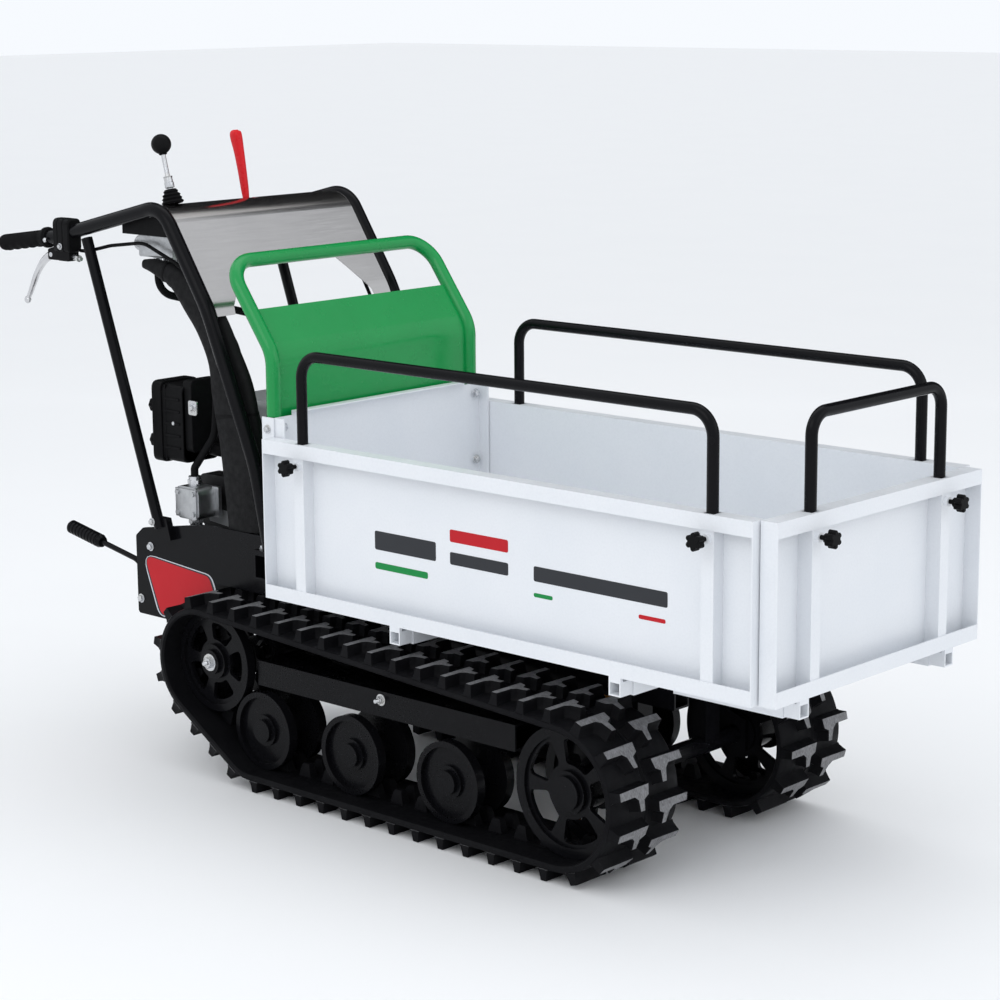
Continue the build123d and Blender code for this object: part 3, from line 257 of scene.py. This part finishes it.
def moulded(name, colour, dull, low, high, grain=650, depth=0.25):
    """Moulded plastic or rubber: fine grain, slightly uneven gloss, greyed edges."""
    made = Surface(name, colour, 0.5, specular=0.25 if colour[0] > 0.1 else 0.06)
    made.mottle(14, 0.5, dull).mottle(260, 0.12, tuple(min(1, 1.8 * c + 0.006) for c in colour))
    return made.roughen(60, low, high).bump(grain, depth, 0.0003).bump(90, 0.08, 0.0004).done()


FINISH["black_plastic"] = moulded("black_plastic", (0.005, 0.005, 0.0055), (0.008, 0.008, 0.0085), 0.40, 0.56)
FINISH["knob_black"] = moulded("knob_black", (0.005, 0.005, 0.0055), (0.008, 0.008, 0.0085), 0.32, 0.5)
FINISH["grip_rubber"] = moulded(
    "grip_rubber", (0.006, 0.006, 0.0065), (0.010, 0.010, 0.0105), 0.5, 0.72, 800, 0.4,
)
FINISH["hose_rubber"] = moulded("hose_rubber", (0.005, 0.005, 0.0055), (0.009, 0.009, 0.0095), 0.45, 0.65)
FINISH["red_plastic"] = moulded("red_plastic", (0.66, 0.006, 0.012), (0.52, 0.005, 0.010), 0.2, 0.36)
FINISH["track_rubber"] = moulded(
    "track_rubber", (0.005, 0.005, 0.006), (0.010, 0.010, 0.011), 0.38, 0.62, 420, 0.35,
)

weave = Surface("sleeve_weave", (0.004, 0.004, 0.0045), 0.7, specular=0.15)
weave.mottle(20, 0.5, (0.008, 0.008, 0.009)).mottle(900, 0.4, (0.016, 0.016, 0.017), (1, 1, 0.3))
weave.roughen(80, 0.55, 0.8)
SLEEVE = weave.bump(1100, 0.5, 0.0005, (1, 1, 0.25)).bump(30, 0.4, 0.002).done()

crest = Surface("scuffed_rubber", (0.15, 0.15, 0.155), 0.6)
crest.mottle(90, 0.7, (0.06, 0.06, 0.064)).mottle(700, 0.8, (0.28, 0.28, 0.29), (0.25, 1, 0.25))
SCUFFED = crest.roughen(200, 0.45, 0.7).bump(600, 0.5, 0.0004, (0.3, 1, 0.3)).done()

felt = Surface("flag_felt", (0.004, 0.004, 0.004), 1.0)
flag.data.materials.append(felt.mottle(40, 0.3, (0.006, 0.006, 0.006)).done())
paper = Surface("floor_paper", (0.90, 0.90, 0.90), 0.9)
paper.mottle(2, 0.3, (0.88, 0.88, 0.885)).bump(300, 0.02)
floor.data.materials.append(paper.done())

for name, node in NODES.items():
    finish = FINISH[SLOT_OF[name]]
    if not node.data.materials:
        node.data.materials.append(finish)
    for index in range(len(node.data.materials)):
        node.data.materials[index] = finish

# ---- mesh helpers: lengths below are in millimetres -------------------------------------------------
MM = 0.001
BED = -176.3              # x of the bed's rear edge


def mesh_piece(name, verts, faces, material, body, bevel=0.0, smooth=40, segments=2, more=()):
    """A mesh piece that rides on a body. more holds (material, face test) pairs."""
    mesh = bpy.data.meshes.new(name)
    mesh.from_pydata([tuple(c * MM for c in v) for v in verts], [], faces)
    cleaned = bmesh.new()
    cleaned.from_mesh(mesh)
    bmesh.ops.remove_doubles(cleaned, verts=cleaned.verts, dist=1e-6)
    bmesh.ops.recalc_face_normals(cleaned, faces=cleaned.faces)
    cleaned.to_mesh(mesh)
    piece = bpy.data.objects.new(name, mesh)
    bpy.context.scene.collection.objects.link(piece)
    mesh.materials.append(material)
    for index, (other, test) in enumerate(more, start=1):
        mesh.materials.append(other)
        for face in mesh.polygons:
            if test(face):
                face.material_index = index
    if bevel:
        rounding = piece.modifiers.new("bevel", "BEVEL")
        rounding.width = bevel * MM
        rounding.segments = segments
        rounding.limit_method = "ANGLE"
        rounding.angle_limit = math.radians(35)
    mesh.shade_smooth()
    mesh.set_sharp_from_angle(angle=math.radians(smooth))
    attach(piece, body)
    return piece


def skin(rings, caps=True, loop=False):
    """Quads between rings of the same length, with end caps."""
    size = len(rings[0])
    verts = [v for ring in rings for v in ring]
    faces = []
    pairs = list(zip(range(len(rings)), range(1, len(rings))))
    if loop:
        pairs.append((len(rings) - 1, 0))
    for a, b in pairs:
        for i in range(size):
            j = (i + 1) % size
            faces.append((a * size + i, a * size + j, b * size + j, b * size + i))
    if caps and not loop:
        faces.append(tuple(range(size)))
        faces.append(tuple((len(rings) - 1) * size + i for i in range(size)))
    return verts, faces


def join(*parts):
    """Several (verts, faces) lists as one."""
    verts, faces = [], []
    for more_verts, more_faces in parts:
        start = len(verts)
        verts += list(more_verts)
        faces += [tuple(i + start for i in face) for face in more_faces]
    return verts, faces


def frame_of(axis):
    along = Vector(axis).normalized()
    side = along.orthogonal().normalized()
    return along, side, along.cross(side)


def lathe(origin, axis, profile, sides=32, lobes=None):
    """Rings round an axis: profile is (distance along, radius). lobes(angle) scales the radius."""
    along, side, other = frame_of(axis)
    rings = []
    for d, r in profile:
        ring = []
        for i in range(sides):
            a = 2 * math.pi * i / sides
            reach = r * (lobes(a, d) if lobes else 1)
            ring.append(Vector(origin) + along * d + (side * math.cos(a) + other * math.sin(a)) * reach)
        rings.append(ring)
    return skin(rings)


def hexagon(origin, axis, radius, low, high):
    """A hexagonal head with its corners turned off at the top."""
    flat = [(low, radius), (high - 1.0, radius), (high, radius * 0.86)]
    return lathe(origin, axis, flat, 6)


def bolt(origin, axis, head=6.5, washer=8.5, height=5.5, stud=0.0):
    """Washer, hexagon head and, where it shows, the stud's end, as one part."""
    parts = [lathe(origin, axis, [(-0.5, washer), (1.4, washer), (1.8, washer - 0.6)], 28)]
    parts.append(hexagon(origin, axis, head, 1.2, 1.2 + height))
    parts.append(lathe(origin, axis, [(height + 0.8, head * 0.72), (height + 1.5, head * 0.62)], 20))
    if stud:
        thread = [(height + 1, 4.0)]
        for k in range(int(stud / 1.2)):
            thread += [(height + 1 + 1.2 * k + 0.6, 4.0), (height + 1 + 1.2 * k + 1.2, 3.5)]
        parts.append(lathe(origin, axis, thread, 20))
    return join(*parts)


def prism(outline, axis, low, high):
    """An outline in the other two coordinates, pushed between two values of axis 0, 1 or 2."""
    rings = []
    for value in (low, high):
        ring = []
        for a, b in outline:
            point = [a, b]
            point.insert(axis, value)
            ring.append(tuple(point))
        rings.append(ring)
    return skin(rings)


def rounded(points, radius, steps=5):
    """An outline's corners rounded."""
    made = []
    count = len(points)
    for i, corner in enumerate(points):
        here = Vector(corner)
        before = Vector(points[i - 1]) - here
        after = Vector(points[(i + 1) % count]) - here
        half = before.angle(after) / 2
        reach = min(radius / math.tan(half), before.length * 0.48, after.length * 0.48)
        a, b = here + before.normalized() * reach, here + after.normalized() * reach
        for k in range(steps + 1):
            t = k / steps
            made.append(tuple(a * (1 - t) ** 2 + here * 2 * t * (1 - t) + b * t ** 2))
    return made


def smooth_path(points, steps=8):
    """A Catmull-Rom curve through points."""
    line = [Vector(p) for p in points]
    line = [line[0] * 2 - line[1]] + line + [line[-1] * 2 - line[-2]]
    made = []
    for p0, p1, p2, p3 in zip(line, line[1:], line[2:], line[3:]):
        for k in range(steps):
            t = k / steps
            made.append(0.5 * (2 * p1 + (p2 - p0) * t + (2 * p0 - 5 * p1 + 4 * p2 - p3) * t * t
                               + (3 * p1 - p0 - 3 * p2 + p3) * t ** 3))
    return made + [line[-2]]


def swept(points, sizes, steps=8, sides=20, power=2.0, across=(0, 1, 0)):
    """Superellipse sections along a curve: sizes are (in the plane, across it) half widths."""
    line = smooth_path(points, steps)
    wide = smooth_path([(*s, 0) for s in sizes], steps)
    rings = []
    side = Vector(across)
    for i, (p, s) in enumerate(zip(line, wide)):
        along = (line[min(i + 1, len(line) - 1)] - line[max(i - 1, 0)]).normalized()
        other = along.cross(side).normalized()
        ring = []
        for k in range(sides):
            a = 2 * math.pi * k / sides
            c, d = math.cos(a), math.sin(a)
            c = math.copysign(abs(c) ** (2 / power), c)
            d = math.copysign(abs(d) ** (2 / power), d)
            ring.append(p + other * c * s.x + side * d * s.y)
        rings.append(ring)
    return skin(rings)


# ---- rubber tracks --------------------------------------------------------------------------------------
BELT, LUG, GUIDE, LINKS = 14.0, 20.0, 24.0, 42
TRACK_Y, HALF_TRACK = 235.0, 90.0
WHEELS = ((BED - 45, 109, 75), (BED + 717, 151, 117), (BED - 180, 221, 98))


def belt_runs():
    """Arcs and straight runs of the belt's middle line, (length, start, end or centre, angles)."""
    wheels = [(x, z, r + BELT / 2) for x, z, r in WHEELS]
    angles = []
    for (x, z, r), (x2, z2, r2) in zip(wheels, wheels[1:] + wheels[:1]):
        span = math.hypot(x2 - x, z2 - z)
        angles.append(math.atan2(z2 - z, x2 - x) - math.acos((r - r2) / span))
    runs = []
    for i, (x, z, r) in enumerate(wheels):
        a0 = angles[i - 1]
        a1 = a0 + (angles[i] - a0) % (2 * math.pi)
        runs.append((r * (a1 - a0), (x, z, r), a0, None))
        x2, z2, r2 = wheels[(i + 1) % 3]
        n = (math.cos(angles[i]), math.sin(angles[i]))
        start, end = (x + r * n[0], z + r * n[1]), (x2 + r2 * n[0], z2 + r2 * n[1])
        runs.append((math.dist(start, end), start, angles[i], end))
    return runs


RUNS = belt_runs()
LOOP = sum(run[0] for run in RUNS)
PITCH = LOOP / LINKS


def on_belt(s, y, h):
    """The point at distance s along the belt's middle line, h outside it."""
    s %= LOOP
    for length, start, angle, end in RUNS:
        if s <= length:
            break
        s -= length
    if end is None:
        x, z, r = start
        angle += s / r
        x, z = x + r * math.cos(angle), z + r * math.sin(angle)
    else:
        share = s / length
        x, z = start[0] + (end[0] - start[0]) * share, start[1] + (end[1] - start[1]) * share
    return (x + h * math.cos(angle), y, z + h * math.sin(angle))


# lug outlines at its foot and at its crest: (outward from the belt's middle, along the belt)
LUG_FOOT = (
    (89, -11), (89, 11), (54, 11), (47, 17), (42, 34), (18, 34), (19, 17), (8, 13), (5, -12), (34, -13),
)
LUG_CREST = (
    (86, -6), (86, 6), (50, 6), (41, 12), (36, 29), (25, 29), (26, 13), (14, 8), (11, -7), (34, -7),
)
LUG_LEVELS = ((0.0, 5.5), (0.45, 9.5), (0.88, 22.0), (0.95, 25.6), (1.08, 27.0))


def lug(middle, outward, at):
    """A T-shaped lug: a bar from the belt's edge towards its middle, with a leg along the belt."""
    rings = []
    for blend, height in LUG_LEVELS:
        ring = []
        for (u, w), (u2, w2) in zip(LUG_FOOT, LUG_CREST):
            a, b = u + (u2 - u) * blend, w + (w2 - w) * blend
            ring.append(on_belt(at - b, middle + outward * a, height))
        rings.append(ring)
    return skin(rings)


# levels of a guide tooth: (half length, height over the belt, near side, far side)
TOOTH_LEVELS = ((16, -5, 8, 26), (13, -16, 9, 25), (9, -28, 10.5, 23), (7, -30.6, 12, 21.5))


def guide_tooth(middle, outward, at):
    """A tapered tooth inside the belt, which runs between the wheels' two rims."""
    rings = []
    for half, height, near, far in TOOTH_LEVELS:
        corners = ((-half, near), (half, near), (half, far), (-half, far))
        rings.append([on_belt(at + a, middle + outward * b, height) for a, b in corners])
    return skin(rings)


# the belt's cross section: (across the belt, height over its middle)
SECTION = (
    (-90, -3.5), (-88.5, 4.2), (-84, 6.4), (-40, 7), (-5, 6.6), (-3, 4.6),
    (3, 4.6), (5, 6.6), (40, 7), (84, 6.4), (88.5, 4.2), (90, -3.5),
    (87, -6.6), (34, -7), (30, -5.6), (-30, -5.6), (-34, -7), (-87, -6.6),
)
for side, name in ((-1, "right"), (1, "left")):
    middle = side * TRACK_Y
    stations = LINKS * 6
    rings = []
    for k in range(stations):
        at = LOOP * k / stations
        swell = 0.7 * math.cos(2 * math.pi * k / 6)
        rings.append([on_belt(at, middle + y, h + (swell if h > 5.5 else 0)) for y, h in SECTION])
    parts = [skin(rings, loop=True)]
    for link in range(LINKS):
        at = PITCH * link
        parts.append(lug(middle, side, at))
        parts.append(lug(middle, -side, at + PITCH / 2))
        parts.append(guide_tooth(middle, 1, at + PITCH / 4))
        parts.append(guide_tooth(middle, -1, at + PITCH / 4))
    verts, faces = join(*parts)
    track = mesh_piece(
        f"track_{name}", verts, faces, FINISH["track_rubber"], BODY_OF[f"rubber_track_{name}"], smooth=32,
        more=((SCUFFED, lambda face: len(face.vertices) == 10 and face.area > 0.0009),),
    )
    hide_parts(f"rubber_track_{name}")

# ---- fasteners -------------------------------------------------------------------------------------------
PLATE_FACE = 231.0
BOLTS = {
    "side_plate_bolts": ("chassis", [
        ((BED - 417, s * PLATE_FACE, 403), (0, s, 0), 6.5, 9.0, 5.5, 0) for s in (-1, 1)
    ] + [
        ((BED - 451, s * PLATE_FACE, 293), (0, s, 0), 6.5, 9.0, 5.5, 0) for s in (-1, 1)
    ] + [
        ((BED - 380, s * 256, 462), (0, s, 0), 6.0, 8.0, 5.0, 0) for s in (-1, 1)
    ]),
    "beam_bolts": ("chassis", [
        ((BED + 259, s * 268, 224), (0, s, 0), 7.5, 11.0, 6.5, 9) for s in (-1, 1)
    ]),
    "rear_wall_bolts": ("bed", [
        ((BED + 7, s * 258, z), (1, 0, 0), 6.5, 9.0, 5.5, 0) for s in (-1, 1) for z in (560, 693)
    ]),
    "rack_bolts": ("bed", [
        ((BED - 27, s * 262, z), (-1, 0, 0), 6.0, 8.5, 5.0, 0) for s in (-1, 1) for z in (560, 693)
    ]),
    "deck_bolts": ("chassis", [
        ((BED + x, s * 205, 365), (0, 0, 1), 6.0, 8.5, 5.0, 0) for s in (-1, 1) for x in (-440, -120)
    ]),
    "handle_foot_bolts": ("chassis", [
        ((BED - 72, s * 245, 451), (0, 0, 1), 5.5, 7.5, 5.0, 0) for s in (-1, 1)
    ]),
    "air_cleaner_bolts": ("chassis", [
        ((BED - 352, -214, 655), (0, -1, 0), 4.5, 6.5, 4.0, 0),
    ]),
}
for side, name in ((-1, "right"), (1, "left")):
    BOLTS[f"sprocket_nut_{name}"] = (BODY_OF[f"sprocket_{name}"], [
        ((BED - 180, side * 292, 221), (0, side, 0), 11.0, 17.0, 8.0, 8),
    ])
for name, (body, places) in BOLTS.items():
    parts = [bolt(at, axis, head, washer, height, stud) for at, axis, head, washer, height, stud in places]
    made = mesh_piece(name, *join(*parts), FINISH["zinc"], body, smooth=30)


# ---- decals and badges: thin plain shapes ------------------------------------------------------------
def flat_colour(name, colour, low=0.3, high=0.45):
    made = Surface(name, colour, 0.35, specular=0.15)
    made.mottle(12, 0.25, tuple(c * 0.8 for c in colour)).roughen(40, low, high)
    return made.bump(500, 0.04, 0.0002).done()


DECAL = {
    "red": flat_colour("decal_red", (0.52, 0.014, 0.022)),
    "green": flat_colour("decal_green", (0.012, 0.25, 0.06)),
    "grey": flat_colour("decal_grey", (0.035, 0.037, 0.042)),
    "pale": flat_colour("decal_pale", (0.62, 0.64, 0.68)),
    "silver": flat_colour("decal_silver", (0.30, 0.31, 0.32)),
}


def slanted(x, z, width, height, lean=0.0):
    return [(x, z), (x + width, z), (x + width + lean, z + height), (x + lean, z + height)]


BED_LENGTH = 1117
WALL_SHAPES = {
    "red": [slanted(446, 545, 136, 22), slanted(868, 478, 56, 7)],
    "green": [slanted(262, 470, 130, 12), slanted(640, 478, 42, 7)],
    "grey": [slanted(262, 505, 150, 34), slanted(446, 505, 136, 22), slanted(640, 505, 288, 26)],
}
for side, name in ((-1, "right"), (1, "left")):
    panel = side * 279.1
    for colour, shapes in WALL_SHAPES.items():
        parts = []
        for shape in shapes:
            if side > 0:
                shape = [(BED_LENGTH - x, z) for x, z in shape]
            outline = rounded([(BED + x, z) for x, z in shape], 4)
            parts.append(prism(outline, 1, *sorted((panel - side * 0.2, panel + side * 0.35))))
        body = BODY_OF[f"side_wall_{name}"]
        made = mesh_piece(f"decal_{colour}_{name}", *join(*parts), DECAL[colour], body)


def badge_outline(inset, radius):
    corners = [(-446, 388), (-238, 372), (-224, 340), (-250, 292), (-398, 262)]
    centre = Vector((-330, 322))
    moved = []
    for corner in corners:
        away = Vector(corner) - centre
        moved.append(tuple(centre + away * (1 - inset / away.length)))
    return [(BED + x, z) for x, z in rounded(moved, radius)]


for side, name in ((-1, "right"), (1, "left")):
    face = side * PLATE_FACE
    for label, inset, proud, colour, slot in (
        ("edge", 0, 0.30, "pale", "white_paint"),
        ("gap", 4, 0.45, "grey", "black_plastic"),
        ("field", 9, 0.60, "red", "red_plastic"),
    ):
        outline = badge_outline(inset, 26 - inset)
        part = prism(outline, 1, *sorted((face - side * 0.2, face + side * proud)))
        made = mesh_piece(f"badge_{label}_{name}", *part, DECAL[colour], "chassis")
corners = [(BED - 330, 455), (BED - 250, 448), (BED - 248, 478), (BED - 328, 485)]
label = prism(rounded(corners, 4), 1, -152.6, -151.5)
mesh_piece("engine_label", *label, DECAL["silver"], "chassis", bevel=0.2)

# ---- corner uprights, air cleaner and pump fittings ------------------------------------------------------
for side, name in ((-1, "right"), (1, "left")):
    corner = ((-29, 275.6), (-29, 278.6), (2.3, 278.6), (2.3, 275.1), (-0.3, 275.1), (-0.3, 275.6))
    upright = prism([(BED + x, side * y) for x, y in corner], 2, 381, 712)
    made = mesh_piece(f"corner_upright_{name}", *upright, FINISH["white_paint"], "bed", bevel=0.5)
    head = bolt((BED - 14, side * 278.6, 690), (0, side, 0), 6.0, 8.5, 5.0)
    mesh_piece(f"corner_bolt_{name}", *head, FINISH["zinc"], "bed", smooth=30)

shell = [
    prism(rounded([(-220, 574), (-122, 574), (-122, 734), (-220, 734)], 16), 0, BED - 413, BED - 386),
    prism(rounded([(-216.5, 578), (-126, 578), (-126, 730), (-216.5, 730)], 14), 0, BED - 386, BED - 326),
    prism(rounded([(-210, 600), (-134, 600), (-134, 742), (-210, 742)], 12), 0, BED - 330, BED - 306),
]
for z in (604, 628, 652, 676, 700):
    rib = [(BED - 380, z), (BED - 334, z), (BED - 334, z + 5), (BED - 380, z + 5)]
    shell.append(prism(rib, 1, -218.6, -216))
plastic = FINISH["black_plastic"]
cleaner = mesh_piece("air_cleaner_shell", *join(*shell), plastic, "chassis", bevel=2.5, segments=3)
for index, z in enumerate((683, 614), start=1):
    profile = [(-1, 6), (4, 6), (4.5, 13), (7, 15), (15, 15), (18, 12.5), (18.6, 4)]
    knob = lathe(
        (BED - 413, -200, z), (-1, 0, 0), profile, 48,
        lambda a, d: 1.0 + (0.07 * math.cos(8 * a) if 5 < d < 17 else 0.0),
    )
    made = mesh_piece(f"air_cleaner_knob_{index}", *knob, FINISH["knob_black"], "chassis", bevel=0.4)
corners = [(BED - 312, 676), (BED - 288, 676), (BED - 288, 704), (BED - 312, 704)]
strap = prism(rounded(corners, 5), 1, -213, -209.5)
clasp = bolt((BED - 300, -213, 690), (0, -1, 0), 6.0, 8.5, 5.0)
mesh_piece("air_cleaner_bracket", *join(strap, clasp), FINISH["zinc"], "chassis", smooth=30)

banjo = [(-1, 12), (5, 12), (5.2, 9), (9, 9), (9.2, 12.5), (19, 12.5), (19.6, 9), (23, 8), (23, 3)]
upper = lathe((BED - 318, -197, 533.5), (0, 0, 1), banjo[:5] + [(19, 12.5), (19.4, 8)], 24)
lower = lathe((BED - 318, -197, 470.5), (0, 0, -1), banjo, 24)
nuts = [hexagon((BED - 318, -197, z), (0, 0, way), 14.5, 4, 12) for z, way in ((534, 1), (470, -1))]
made = mesh_piece("pump_banjos", *join(upper, lower, *nuts), FINISH["zinc"], "chassis", bevel=0.4, smooth=30)
path = [
    (BED - 318, -197, 452), (BED - 302, -197, 440), (BED - 264, -195, 436), (BED - 226, -178, 444),
    (BED - 206, -146, 454),
]
stub = swept(path, [(9.5, 9.5)] * 5, 8, 24)
mesh_piece("pump_suction_hose", *stub, FINISH["hose_rubber"], "chassis", smooth=50)


# ---- hand controls -----------------------------------------------------------------------------------------
GRIP_END, GRIP_ROOT = Vector((BED - 828, 0, 979)), Vector((BED - 655, 0, 1002))
GRIP_AXIS = (GRIP_ROOT - GRIP_END).normalized()


def grip_shape(a, d):
    """Finger waves under the grip."""
    under = max(0.0, -math.cos(a - GRIP_TURN))
    wave = 0.055 * under * math.sin(2 * math.pi * (d - 10) / 25) if 6 < d < 128 else 0
    return 1 + wave


for side, name in ((-1, "right"), (1, "left")):
    y = side * 245
    start = Vector((GRIP_END.x, y, GRIP_END.z))
    _, first, second = frame_of(GRIP_AXIS)
    GRIP_TURN = math.atan2(second.z, first.z)
    profile = [(-4.6, 0.5), (-4.6, 8), (-3.5, 12.5), (-1, 15.2), (3, 16.2)]
    d = 6.0
    while d < 128:
        profile += [(d, 16.4), (d + 0.5, 15.8), (d + 1.9, 15.8), (d + 2.4, 16.4)]
        d += 3.6
    profile += [(131, 16.5), (136, 16.6), (138.5, 19.5), (140, 20.8), (146, 20.8), (147.5, 19.5)]
    profile += [(148, 17.6), (151.6, 17.4), (151.8, 14.2)]
    part = lathe(start, GRIP_AXIS, profile, 40, grip_shape)
    grip = mesh_piece(f"grip_{name}", *part, FINISH["grip_rubber"], "chassis")
    if side < 0:
        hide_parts("handle_grips")

    # clamp and switch housing: a ribbed body round the tube, a lever clevis below, a cable adjuster ahead
    x0, x1 = BED - 650, BED - 600
    housing = []
    stations = (
        (x0, -3), (x0 + 3, 0), (x0 + 14, 0), (x0 + 15, -1.6), (x0 + 17, -1.6), (x0 + 18, 0.2),
        (x0 + 30, 0.2), (x0 + 31, -1.6), (x0 + 33, -1.6), (x0 + 34, 0), (x1 - 3, 0), (x1, -3),
    )
    for x, grow in stations:
        outline = rounded([(y - 17, 972), (y + 17, 972), (y + 17, 1040), (y - 17, 1040)], 12)
        centre = Vector((y, 1006))
        ring = []
        for p in outline:
            away = Vector(p) - centre
            q = centre + away * (1 + grow / away.length)
            ring.append((x, q.x, q.y))
        housing.append(ring)
    parts = [skin(housing)]
    lower = rounded([(x0 + 8, 955.5), (x1 - 5, 955.5), (x1 - 5, 976), (x0 + 8, 976)], 5)
    parts.append(prism(lower, 1, y - 12, y + 12))
    for low, high in ((y - 12, y - 7), (y + 7, y + 12)):
        cheek = rounded([(x0 + 10, 996), (x0 + 10, 956), (BED - 673, 956), (BED - 673, 977), (x0 - 4, 982)], 5)
        parts.append(prism(cheek, 1, low, high))
    black = FINISH["knob_black"]
    perch = mesh_piece(f"lever_housing_{name}", *join(*parts), black, "chassis", bevel=0.9, smooth=30)
    if side < 0:
        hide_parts("lever_perches")
    pin = [lathe((BED - 664, y - 12.6, 966), (0, 1, 0), [(0, 4.5), (1, 5.2), (24.2, 5.2), (25.2, 4.5)], 20)]
    pin.append(bolt((x0 + 24, y + side * 17, 985), (0, side, 0), 4.6, 6.5, 4))
    adjuster = [(0, 6.5), (8, 6.5), (8.5, 5), (11, 5), (11.5, 7), (18, 7), (18.5, 4), (24, 4)]
    pin.append(lathe((x1 - 6, y, 964), (1, 0, -0.12), adjuster, 8))
    pin.append(lathe((BED - 672, y - 21.5, 995), (0, 1, 0), [(0, 3.2), (1.5, 4.6), (4, 4.6)], 16))
    mesh_piece(f"lever_hardware_{name}", *join(*pin), FINISH["zinc"], "chassis", smooth=30)

    # forged lever blade: broad at its pin, bowed down and back to a ball end
    path = [
        (BED - 658, y, 967), (BED - 676, y, 964), (BED - 700, y, 951), (BED - 724, y, 926),
        (BED - 742, y, 896), (BED - 757, y, 872),
    ]
    sizes = [(8.0, 5.2), (8.6, 5.6), (7.4, 6.4), (5.4, 6.6), (4.4, 6.0), (3.8, 4.6)]
    blade = [swept(path, sizes, 8, 20, 2.6)]
    ball = [(-8 + 16 * k / 12, max(0.4, math.sqrt(max(0, 64 - (-8 + 16 * k / 12) ** 2)))) for k in range(13)]
    blade.append(lathe((BED - 760.5, y, 867.5), (0, 1, 0), [(d * 0.74, r * 0.98) for d, r in ball], 24))
    body = BODY_OF[f"steering_lever_{name}"]
    lever = mesh_piece(f"lever_blade_{name}", *join(*blade), FINISH["bright_rod"], body, smooth=50)
    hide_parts(f"steering_lever_{name}")

# ball lever of the tipping valve
foot, tip = Vector((BED - 373, -185, 1088)), Vector((BED - 400, -185, 1190))
stem = tip - foot
reach = stem.length
steel_profile = [
    (0, 4.6), (19, 4.6), (20, 8.6), (21, 9.2), (30, 9.2), (31, 8.2), (40, 8.2), (41, 9.2), (42, 8.6),
    (43, 4.8), (46, 4.4), (reach - 16, 4.4),
]
steel_rod = lathe(foot, stem, steel_profile, 24)
rod_piece = mesh_piece("tip_lever_rod", *steel_rod, FINISH["zinc"], BODY_OF["tip_lever"], smooth=35)
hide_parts("tip_lever")
BALL = 19.4
profile = [(reach - 21, 5), (reach - 20.5, 7), (reach - 19, 8.2)]
for k in range(3, 25):
    a = math.pi * (1 - k / 24)
    profile.append((reach + BALL * math.cos(a), max(0.3, BALL * math.sin(a))))
ball = lathe(foot, stem, profile, 40)
mesh_piece("tip_lever_ball", *ball, FINISH["knob_black"], BODY_OF["tip_lever"])
base = lathe((foot.x, -185, 1058), (0, 0, 1), [(0, 5), (14, 5)], 20)
mesh_piece("tip_lever_post", *base, FINISH["zinc"], "chassis")

# red drive lever: a tapered blade that flares to a rounded top
path = [
    (BED - 381, 15, 1048), (BED - 383, 15, 1066), (BED - 387, 15, 1092), (BED - 393, 15, 1126),
    (BED - 401, 15, 1165), (BED - 408, 15, 1192), (BED - 410.5, 15, 1203), (BED - 411, 15, 1207.6),
]
sizes = [(5.0, 4.0), (6.0, 4.6), (8.0, 6.2), (9.2, 6.8), (11.0, 7.8), (13.0, 9.0), (11.8, 8.0), (5.0, 3.4)]
hub = lathe((BED - 381, 9, 1042), (0, 1, 0), [(0, 7.5), (1, 9), (11, 9), (12, 7.5)], 28)
blade = join(swept(path, sizes, 8, 24, 2.8), hub)
made = mesh_piece("drive_lever_blade", *blade, FINISH["red_plastic"], BODY_OF["drive_lever"], smooth=50)
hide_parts("drive_lever")

# woven sleeve round the hoses, from the valve down both sides of the right handle tube
SLEEVE_Y = -212
path = [
    (-428, 960), (-392, 956), (-334, 938), (-284, 902), (-240, 860),
    (-205, 800), (-182, 732), (-163, 640), (-152, 545), (-148, 470),
]
sizes = [(9, 8), (15, 12), (24, 14), (34, 15), (40, 16), (45, 17), (54, 17), (58, 17), (57, 17), (50, 16)]
wavy = []
for k, (a, b) in enumerate(sizes):
    wavy.append((a * (1 + 0.05 * math.sin(2.3 * k)), b))
sleeve = swept([(BED + x, SLEEVE_Y, z) for x, z in path], wavy, 10, 32, 2.4)
made = mesh_piece("hose_sleeve", *sleeve, SLEEVE, "chassis", smooth=60)
TIES = (
    ("top", (BED - 362, SLEEVE_Y, 949), (0.9, 0, -0.3), (21, 14)),
    ("low", (BED - 172, SLEEVE_Y, 690), (0.15, 0, -1), (58, 18.5)),
)
for name, at, lean, half in TIES:
    band = swept([Vector(at) - Vector(lean) * 3, Vector(at) + Vector(lean) * 3], [half, half], 3, 32, 2.4)
    made = mesh_piece(f"sleeve_tie_{name}", *band, FINISH["black_plastic"], "chassis", bevel=0.4)
